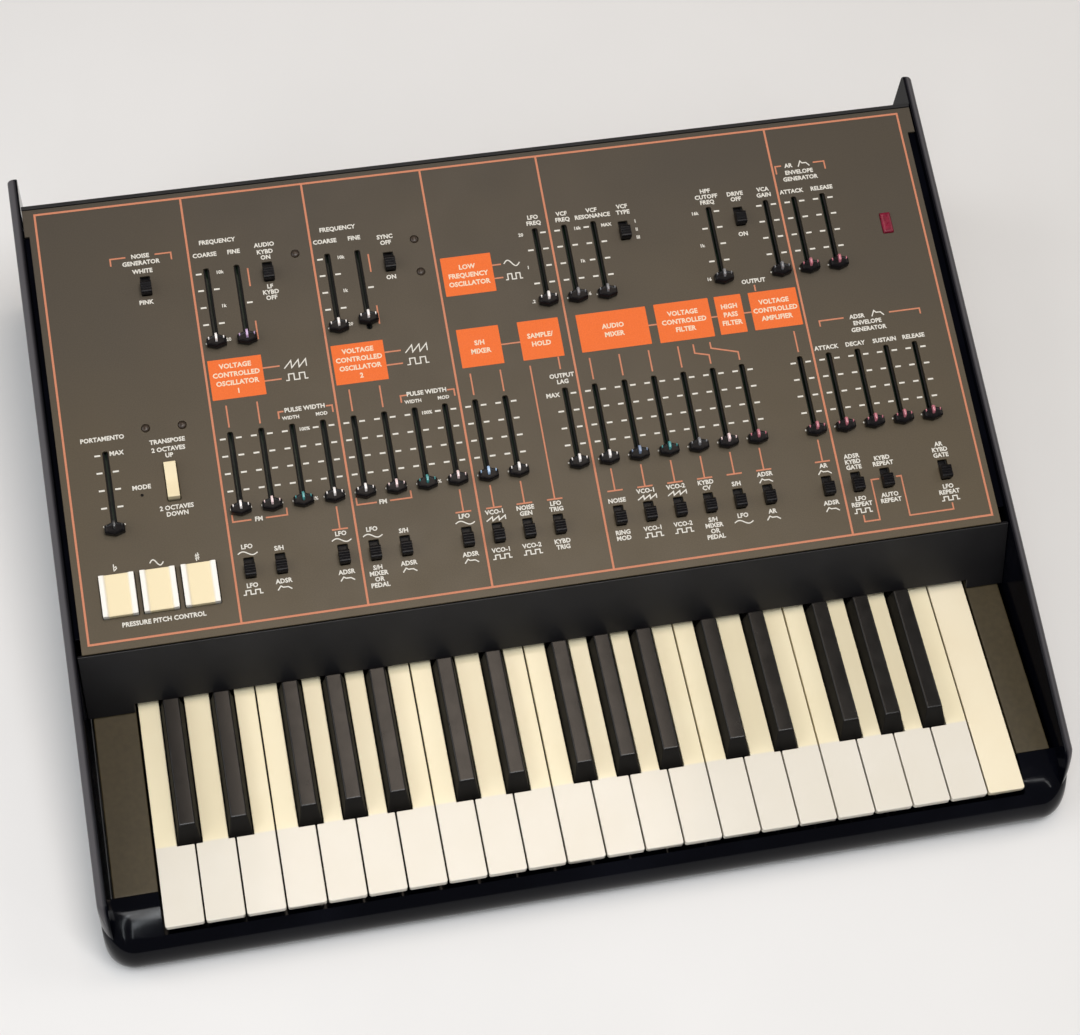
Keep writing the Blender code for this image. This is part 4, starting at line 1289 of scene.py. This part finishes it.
# Words above and below each lower switch. A lower-case word is a wave drawing.
SWITCH_WORDS = {
    0: (("LFO", "sine"), ("LFO", "square")),
    1: (("S/H",), ("ADSR", "envelope")),
    3: (("LFO", "sine"), ("ADSR", "envelope")),
    4: (("LFO", "sine"), ("S/H", "MIXER", "OR", "PEDAL")),
    5: (("S/H",), ("ADSR", "envelope")),
    7: (("LFO", "sine"), ("ADSR", "envelope")),
    8: (("VCO-1", "saw"), ("VCO-1", "square")),
    9: (("NOISE", "GEN"), ("VCO-2", "square")),
    10: (("LFO", "TRIG"), ("KYBD", "TRIG")),
    12: (("NOISE",), ("RING", "MOD")),
    13: (("VCO-1", "saw"), ("VCO-1", "square")),
    14: (("VCO-2", "saw"), ("VCO-2", "square")),
    15: (("KYBD", "CV"), ("S/H", "MIXER", "OR", "PEDAL")),
    16: (("S/H",), ("LFO", "sine")),
    17: (("ADSR", "envelope"), ("AR", "envelope")),
    19: (("AR", "envelope"), ("ADSR", "envelope")),
    20: (("ADSR", "KYBD", "GATE"), ("LFO", "REPEAT", "square")),
    21: (("KYBD", "REPEAT"), ("AUTO", "REPEAT")),
    23: (("AR", "KYBD", "GATE"), ("LFO", "REPEAT", "square")),
}
WORD_STEP = 0.155
ABOVE_SWITCH = 0.41
BELOW_SWITCH = 0.46
SIGN_V = 1.85

# Each drawing runs through (share of its width, share of its height).
SINE_STEPS = 20
SINE = [math.tau * i / SINE_STEPS for i in range(SINE_STEPS + 1)]
SQUARE_EDGES = (0.14, 0.38, 0.62, 0.86)
SQUARE = [(edge, (i + step) % 2) for i, edge in enumerate(SQUARE_EDGES) for step in (0, 1)]
DRAWINGS = {
    "sine": [(turn / math.tau, 0.5 + 0.5 * math.sin(turn)) for turn in SINE],
    "saw": ((0.0, 0), (1 / 3, 1), (1 / 3, 0), (2 / 3, 1), (2 / 3, 0), (1.0, 1), (1.0, 0)),
    "square": [(0.0, 0), *SQUARE, (1.0, 0)],
    "envelope": ((0.0, 0), (0.24, 1), (0.40, 0.62), (0.74, 0.62), (1.0, 0)),
}


def wave_points(kind, x, v, width, height):
    """Drawing of a wave or envelope as points, centred on a place."""
    left, low = x - width / 2, v - height / 2
    return [(left + width * along, low + height * up) for along, up in DRAWINGS[kind]]


WAVE_HEIGHT = 0.105
WAVE_WIDTHS = {"sine": 0.50, "saw": 0.50, "square": 0.50, "envelope": 0.36}
WAVE_DROP = 0.025
WAVES_BESIDE_BOXES = (
    ("saw", 5.20, 6.65, 0.58, 0.20),
    ("square", 5.20, 6.30, 0.58, 0.17),
    ("saw", 8.38, 6.65, 0.58, 0.20),
    ("square", 8.38, 6.30, 0.58, 0.17),
    ("sine", 11.29, 8.69, 0.42, 0.18),
    ("square", 11.29, 8.31, 0.46, 0.16),
    ("envelope", 19.73, 10.53, 0.32, 0.16),
    ("envelope", 20.83, 5.96, 0.34, 0.16),
    ("sine", 1.0, SIGN_V, 0.34, 0.16),
)


def print_lines(name, lines, width, material):
    """Printed lines given as lists of places in key pitches."""
    bm = bmesh.new()
    for line in lines:
        add_strip(bm, [on_panel(x, v) for x, v in line], width * PITCH)
    return add_piece(name, bm, material, place=PANEL)


def print_frame_lines():
    """Border round the panel and the lines that divide it into sections."""
    left, right, low, high = BORDER
    bm = bmesh.new()
    corners = ((left, low), (right, low), (right, high), (left, high))
    add_strip(bm, [on_panel(*corner) for corner in corners], BORDER_LINE * PITCH, closed=True)
    inset = BORDER_LINE / 2
    for x in DIVIDERS:
        add_strip(bm, [on_panel(x, low + inset), on_panel(x, high - inset)], BORDER_LINE * PITCH)
    add_piece("print_frame_lines", bm, "ink_line", place=PANEL)


def print_boxes():
    """Filled orange boxes that name each section."""
    bm = bmesh.new()
    for _, left, right, low, high in BOXES:
        centre = on_panel((left + right) / 2, (low + high) / 2)
        size = ((right - left) * PITCH, (high - low) * PITCH)
        add_prism(bm, rounded(*centre, *size, 0.0003, 2), INK_LOW, INK_HIGH)
    add_piece("print_boxes", bm, "ink_orange", place=PANEL)


def print_links():
    """Orange lines that link boxes, sliders and switches."""
    lines = list(BENT_LINKS)
    lines += [((left, v), (right, v)) for left, right, v in LEVEL_LINKS]
    lines += [((x, start), (x, end)) for x, start, end in UPRIGHT_LINKS]
    for (left, left_end, right_start, right), v, tip in BRACKETS:
        lines.append(((left, tip), (left, v), (left_end, v)))
        lines.append(((right_start, v), (right, v), (right, tip)))
    bar_top = SWITCH_BAR_V + FINE_LINE / 2
    drops = [(number, UNDER_BOXES, OVER_LOWER_SLOTS) for number in BOX_TO_SLIDER]
    drops += [(number, UNDER_LOWER_SLOTS, bar_top) for number in SLIDER_TO_SWITCH]
    drops.append((LONG_LINE_COLUMN, UNDER_BOXES, bar_top))
    lines += [((column(number), start), (column(number), end)) for number, start, end in drops]
    for number in (*SLIDER_TO_SWITCH, LONG_LINE_COLUMN):
        ends = (column(number) - SWITCH_BAR_HALF, column(number) + SWITCH_BAR_HALF)
        lines.append([(x, SWITCH_BAR_V) for x in ends])
    print_lines("print_links", lines, FINE_LINE, "ink_line")


def print_ticks():
    """White scale marks at both sides of every slot."""
    near, far = TICK
    lines = []
    for ticks, numbers in ((LOWER_TICKS, LOWER_SLIDERS), (UPPER_TICKS, UPPER_SLIDERS)):
        for number in numbers:
            for i, v in enumerate(ticks):
                fine = ticks is UPPER_TICKS and number in FINE_TUNE_COLUMNS
                if fine and i != MIDDLE:
                    continue
                sides = (1,) if fine else (-1, 1)
                for side in sides:
                    if word_beside(ticks, number, i, side):
                        continue
                    x = column(number)
                    lines.append(((x + side * near, v), (x + side * far, v)))
    for i, v in enumerate(LOWER_TICKS):
        x = column(PORTAMENTO[0])
        lines.append(((x - far, v), (x - near, v)))
        if i:
            lines.append(((x + near, v), (x + far, v)))
    print_lines("print_ticks", lines, TICK_LINE, "ink_white")


def word_beside(ticks, number, index, side):
    """Whether a small word takes the place of a tick."""
    if ticks is LOWER_TICKS:
        if number in (2, 6):
            return side > 0 and index in (FIRST, LAST)
        return number == 11 and side < 0 and index == FIRST
    if number in (0, 4, 12):
        return side > 0 and index in (FIRST, MIDDLE, LAST)
    if number in (11, 17):
        return side < 0 and index in (FIRST, MIDDLE, LAST)
    return number == 13 and side > 0 and index == FIRST


def print_waves():
    """Wave and envelope drawings, by the boxes and at the switches."""
    drawings = list(WAVES_BESIDE_BOXES)
    for number, words_pair in SWITCH_WORDS.items():
        for words, v in switch_word_places(words_pair):
            for word, word_v in zip(words, v):
                if word.islower():
                    place = (column(number), word_v - WAVE_DROP)
                    drawings.append((word, *place, WAVE_WIDTHS[word], WAVE_HEIGHT))
    lines = [wave_points(*drawing) for drawing in drawings]
    print_lines("print_waves", lines, WAVE_LINE, "ink_white")


def switch_word_places(words_pair):
    """(words, v of each) above and below a switch."""
    above, below = words_pair
    top = SWITCH_ROW + ABOVE_SWITCH + WORD_STEP * (len(above) - 1)
    bottom = SWITCH_ROW - BELOW_SWITCH
    yield above, [top - WORD_STEP * i for i in range(len(above))]
    yield below, [bottom - WORD_STEP * i for i in range(len(below))]


def letter_size():
    """Size to give a text for one metre of capital height."""
    curve = bpy.data.curves.new("capital", "FONT")
    curve.body = "H"
    bm = text_meshes([curve], [(0.0, 0.0, 0.0)])
    height = max(v.co.y for v in bm.verts) - min(v.co.y for v in bm.verts)
    bm.free()
    return 1.0 / height


def print_words(name, words, capitals, material, weight=0.035, spacing=1.02):
    """Words centred on places in key pitches, with capitals of a height in key pitches."""
    size = capitals * PITCH * LETTER_SIZE
    curves, places = [], []
    for word, x, v in words:
        curve = bpy.data.curves.new(name, "FONT")
        curve.body = word
        curve.align_x = "CENTER"
        curve.size = size
        curve.resolution_u = 2
        curve.offset = weight * size
        curve.space_character = spacing
        curve.extrude = (INK_HIGH - INK_LOW) / 2
        curves.append(curve)
        base = on_panel(x, v - capitals / 2)
        places.append((*base, (INK_HIGH + INK_LOW) / 2 + INK_HIGH * 0.5))
    return add_piece(name, text_meshes(curves, places), material, place=PANEL)


LETTER_SIZE = letter_size()


def print_lettering():
    """All the words on the panel."""
    boxed = []
    for lines, left, right, low, high in BOXES:
        top = (low + high) / 2 + BOX_LINE_STEP * (len(lines) - 1) / 2
        boxed += [(line, (left + right) / 2, top - BOX_LINE_STEP * i) for i, line in enumerate(lines)]
    print_words("print_box_words", boxed, BOX_CAPITALS, "ink_cream")
    words = [(word, x, v) for x, group in LABELS for word, v in group.items()]
    for number, words_pair in SWITCH_WORDS.items():
        for group, v in switch_word_places(words_pair):
            words += [(w, column(number), w_v) for w, w_v in zip(group, v) if not w.islower()]
    print_words("print_words", words, CAPITALS, "ink_white")
    small = []
    for number, scale, offsets in SLIDER_SCALES:
        small += [(word, column(number) + x, v) for word, (x, v) in zip(scale, offsets)]
    print_words("print_small_words", small, SMALL_CAPITALS, "ink_white")


def print_pad_signs():
    """Flat and sharp signs over the outer pads."""
    bm = bmesh.new()
    flat_x, _, sharp_x = PAD_CENTRES
    stem = [(-0.035, 0.105), (-0.035, -0.080)]
    bowl = [(-0.035, -0.075), (0.035, -0.010), (0.020, 0.035), (-0.030, 0.015)]
    flat = [[(flat_x + x, SIGN_V + y) for x, y in line] for line in (stem, bowl)]
    stagger = ((-0.025, -0.012), (0.025, 0.012))
    posts = [[(x, rise + end) for end in (0.095, -0.095)] for x, rise in stagger]
    bars = [[(-0.055, level - 0.014), (0.055, level + 0.014)] for level in (-0.035, 0.035)]
    sharp = [[(sharp_x + x, SIGN_V + y) for x, y in line] for line in posts + bars]
    for line in flat + sharp:
        add_strip(bm, [on_panel(*point) for point in line], SIGN_LINE * PITCH)
    add_piece("print_pad_signs", bm, "ink_white", place=PANEL)


# ---------------------------------------------------------------- keyboard

BLACK_KEY_ROUND = 0.0009
WHITE_ROUND_DEPTH = 0.0020


def make_keys():
    """White and black keys, with their edges rounded."""
    for node in sorted(frame["nodes"]):
        if not node.startswith("key_") or node == "key_chassis":
            continue
        black = "s" in node.removeprefix("key_")
        slot = "key_black" if black else "key_white"
        material = "key_cream" if node == "key_C6" else slot
        rounding = {"width": BLACK_KEY_ROUND} if black else {"above": KEY_TOP - WHITE_ROUND_DEPTH}
        refine(node, f"{node}_cap", material, slot, node, **rounding)


# ---------------------------------------------------------------- rear panel


def make_rear():
    """Rear plate with the trim of its sockets, its screws and the power switch."""
    refine("rear_panel", "rear_plate", "rear_black", "rear_black", width=0.0005, segments=2)
    for opening in frame["record"]["physics"]["openings"]:
        if "_socket_" not in opening["name"]:
            continue
        low, high = (Vector(corner) for corner in opening["box_m"])
        centre = (low + high) / 2
        kind = opening["name"].split("_")[0]
        if kind == "usb":
            make_usb_socket(opening["name"], centre.x, centre.z)
        else:
            make_socket(opening["name"], kind, centre.x, centre.z)
    for row, z in REAR_SCREW_Z.items():
        for i, x in enumerate(REAR_SCREW_X):
            place = (x, REAR_FACE, z)
            make_screw(f"rear_screw_{row}_{i + 1}", place, -math.pi / 2, REAR_SCREW_RADIUS)
    make_power_switch(*POWER_SWITCH)


def make_usb_socket(name, x, z):
    """Steel shell round the opening, with a tongue inside."""
    hole = rounded(x, z, *USB_HOLE, 0.0008)
    rim = rounded(x, z, *USB_SHELL, 0.0010)
    levels = ((hole, -0.010), (hole, 0.0009), (rim, 0.0009), (rim, -0.0001))
    bm = bmesh.new()
    rings = [[(px, REAR_FACE + out, pz) for px, pz in outline] for outline, out in levels]
    loft(bm, rings, capped=False)
    add_piece(f"{name}_shell", bm, "steel", slot="rear_black", sharp=40)
    bm = bmesh.new()
    add_prism(bm, centred(x, z, *USB_TONGUE), REAR_FACE - 0.0165, REAR_FACE - 0.0015, "y")
    round_edges(bm, 0.0003, 2)
    add_piece(f"{name}_tongue", bm, "cap_black", slot="rear_black")


def make_socket(name, kind, x, z):
    """Ring round a socket's opening, with its contacts inside."""
    place = Vector((x, REAR_FACE, z))
    radius = SOCKET_RADII[kind]
    nut = [(radius - 0.0002, -0.012), (radius - 0.0002, 0.0016), (radius + 0.0004, 0.0022)]
    nut += [(radius + 0.0028, 0.0020), (radius + 0.0032, 0.0014), (radius + 0.0032, 0.0001)]
    sides, material = (6, "steel") if kind == "jack" else (32, "cap_black")
    bm = bmesh.new()
    turned_ring(bm, nut, place, sides, radius)
    add_piece(f"{name}_nut", bm, material, slot="rear_black", sharp=40)
    bm = bmesh.new()
    if kind == "din":
        pin = [(0.0007, -0.016), (0.0007, -0.004), (0.0004, -0.0035)]
        for i in range(DIN_PINS):
            turn = math.pi * i / (DIN_PINS - 1)
            across_circle, up_circle = DIN_PIN_CIRCLE * math.cos(turn), DIN_PIN_CIRCLE * math.sin(turn)
            offset = (-across_circle, 0.0, up_circle - 0.001)
            turned(bm, pin, place + Vector(offset), 12, "y")
    else:
        turned(bm, [(0.0012, -0.0165), (0.0012, -0.0100), (0.0007, -0.0090)], place, 16, "y")
    add_piece(f"{name}_contact", bm, "brass", slot="rear_black")


def turned_ring(bm, profile, centre, sides, bore, count=48):
    """Ring turned about the y axis; its outside has flats where it has few sides."""
    rings = []
    for radius, height in profile:
        ring = []
        for i in range(count):
            turn = math.tau * i / count
            reach = radius
            if sides < 12 and radius > bore + 0.002:
                flat = math.pi / sides
                reach = radius * math.cos(flat) / math.cos((turn + flat) % (2 * flat) - flat)
                reach = min(radius * 0.985, reach * 1.06)
            ring.append(centre + Vector((reach * math.cos(turn), height, reach * math.sin(turn))))
        rings.append(ring)
    loft(bm, rings, capped=False)


def make_power_switch(x, z):
    """Rocker power switch in a thin frame on the rear plate."""
    bm = bmesh.new()
    add_prism(bm, rounded(x, z, *POWER_SWITCH_FRAME, 0.0010), REAR_FACE + 0.0001, REAR_FACE + 0.0014, "y")
    round_edges(bm, 0.0004, 2, 50)
    even_normals(add_piece("power_switch_frame", bm, "cap_black", slot="rear_black"))
    bm = bmesh.new()
    outer = [(0.0036, -0.0085), (0.0022, 0.0), (0.0048, 0.0085), (0.0012, 0.0085), (0.0012, -0.0085)]
    outline = [(REAR_FACE + out, z + up) for out, up in outer]
    half = POWER_SWITCH_WIDTH / 2
    add_prism(bm, outline, x - half, x + half, "x")
    round_edges(bm, 0.0003, 2)
    even_normals(add_piece("power_switch_rocker", bm, "cap_black", slot="rear_black"))


# ---------------------------------------------------------------- the rest of the CAD


def make_inside():
    """Key chassis with its end blocks, the apron, and the circuit board."""
    refine("key_chassis", "key_chassis_blocks", "chassis_brown", "chassis_brown", width=0.0009)
    refine("front_apron", "front_apron_strip", "apron_black", "apron_black", width=0.0005)
    board = frame["nodes"]["circuit_board"]
    board.data.materials.clear()
    board.data.materials.append(MATERIALS["board_green"])


# ---------------------------------------------------------------- stage, light and camera


def make_stage():
    """Pale floor, wide enough to fill every view."""
    bm = bmesh.new()
    bmesh.ops.create_grid(bm, x_segments=8, y_segments=8, size=6.0)
    mesh = bpy.data.meshes.new("studio_floor")
    bm.to_mesh(mesh)
    bm.free()
    colours = ((0.80, 0.80, 0.80), (0.84, 0.84, 0.84))
    paper = moulded("floor_paper", colours, 3, (0.80, 0.90), 5, (600, 0.05, 0.0001))
    mesh.materials.append(paper)
    floor = bpy.data.objects.new("studio_floor", mesh)
    bpy.context.scene.collection.objects.link(floor)
    floor.location = (0.0, 0.0, FOOT_BOTTOM)


def add_softbox(name, place, target, size, power, colour):
    """Area light that faces a target point."""
    light = bpy.data.lights.new(name, "AREA")
    light.shape = "RECTANGLE"
    light.size, light.size_y = size
    light.energy = power
    light.color = colour
    lamp = bpy.data.objects.new(name, light)
    bpy.context.scene.collection.objects.link(lamp)
    lamp.location = place
    lamp.rotation_euler = (Vector(target) - Vector(place)).to_track_quat("-Z", "Y").to_euler()


WARM, COOL, PLAIN_WHITE = (1.0, 0.84, 0.70), (0.90, 0.96, 1.0), (1.0, 1.0, 1.0)
MIDDLE_OF_BODY = (0.0, 0.0, 0.05)
LEFT_CORNER, RIGHT_CORNER = (-0.28, -0.23, 0.03), (0.26, -0.23, 0.03)
SLIM = (0.010, 1.4)

# Each light: place, target, size, power, colour.
SOFTBOXES = {
    "rear_light": ((0.13, 0.64, 2.0), (0.13, 0.64, 0.0), (0.64, 0.72), 5.0, WARM),
    "overhead_light": ((0.2, 0.05, 2.0), (0.2, 0.05, 0.0), (0.6, 0.5), 4.0, WARM),
    "front_light": ((0.15, -0.55, 2.0), MIDDLE_OF_BODY, (1.15, 0.7), 18.3, PLAIN_WHITE),
    "left_light": ((-1.7, -0.1, 1.1), MIDDLE_OF_BODY, (2.2, 1.8), 20.0, (0.97, 0.98, 1.0)),
    "right_light": ((1.7, 0.3, 1.6), MIDDLE_OF_BODY, (1.0, 1.0), 6.5, (1.0, 0.97, 0.93)),
    "left_strip": ((-0.36, -1.0, 1.4), LEFT_CORNER, SLIM, 1.3, COOL),
    "outer_strip": ((-0.58, -1.0, 1.3), LEFT_CORNER, SLIM, 1.3, COOL),
    "right_strip": ((0.83, -1.0, 1.4), RIGHT_CORNER, SLIM, 1.3, PLAIN_WHITE),
}
SURROUND = (1.0, 0.99, 0.97, 1.0)
SURROUND_STRENGTH = 0.13


def make_lights():
    """Broad soft panels above, in front and at both sides, and slim strips for the gloss corners."""
    for name, settings in SOFTBOXES.items():
        add_softbox(name, *settings)
    world = bpy.data.worlds.new("studio")
    world.use_nodes = True
    background = world.node_tree.nodes["Background"]
    background.inputs["Color"].default_value = SURROUND
    background.inputs["Strength"].default_value = SURROUND_STRENGTH
    bpy.context.scene.world = world


CAMERA_LENS = 77.64
CAMERA_SENSOR = 36.0
CAMERA_PLACE = (-0.20831, -0.66590, 1.32719)
CAMERA_TURNS = (28.374, -3.678, -11.008)


def make_camera():
    """Camera over the player's left side, looking down at the whole instrument."""
    camera = bpy.data.cameras.new("camera")
    camera.lens = CAMERA_LENS
    camera.sensor_width = CAMERA_SENSOR
    camera.sensor_fit = "HORIZONTAL"
    holder = bpy.data.objects.new("camera", camera)
    bpy.context.scene.collection.objects.link(holder)
    holder.location = CAMERA_PLACE
    holder.rotation_euler = [math.radians(turn) for turn in CAMERA_TURNS]
    bpy.context.scene.camera = holder
    bpy.context.scene.view_settings.view_transform = "Standard"


def main():
    """Builds everything, outside first."""
    make_lip()
    make_floor_pan()
    make_feet()
    make_cheek("left", -1)
    make_cheek("right", 1)
    make_inside()
    make_panel()
    make_dust_strips()
    make_sliders()
    make_switches()
    make_pads()
    make_rocker()
    make_lenses()
    print_frame_lines()
    print_boxes()
    print_links()
    print_ticks()
    print_waves()
    print_lettering()
    print_pad_signs()
    make_keys()
    make_rear()
    make_stage()
    make_lights()
    make_camera()


main()
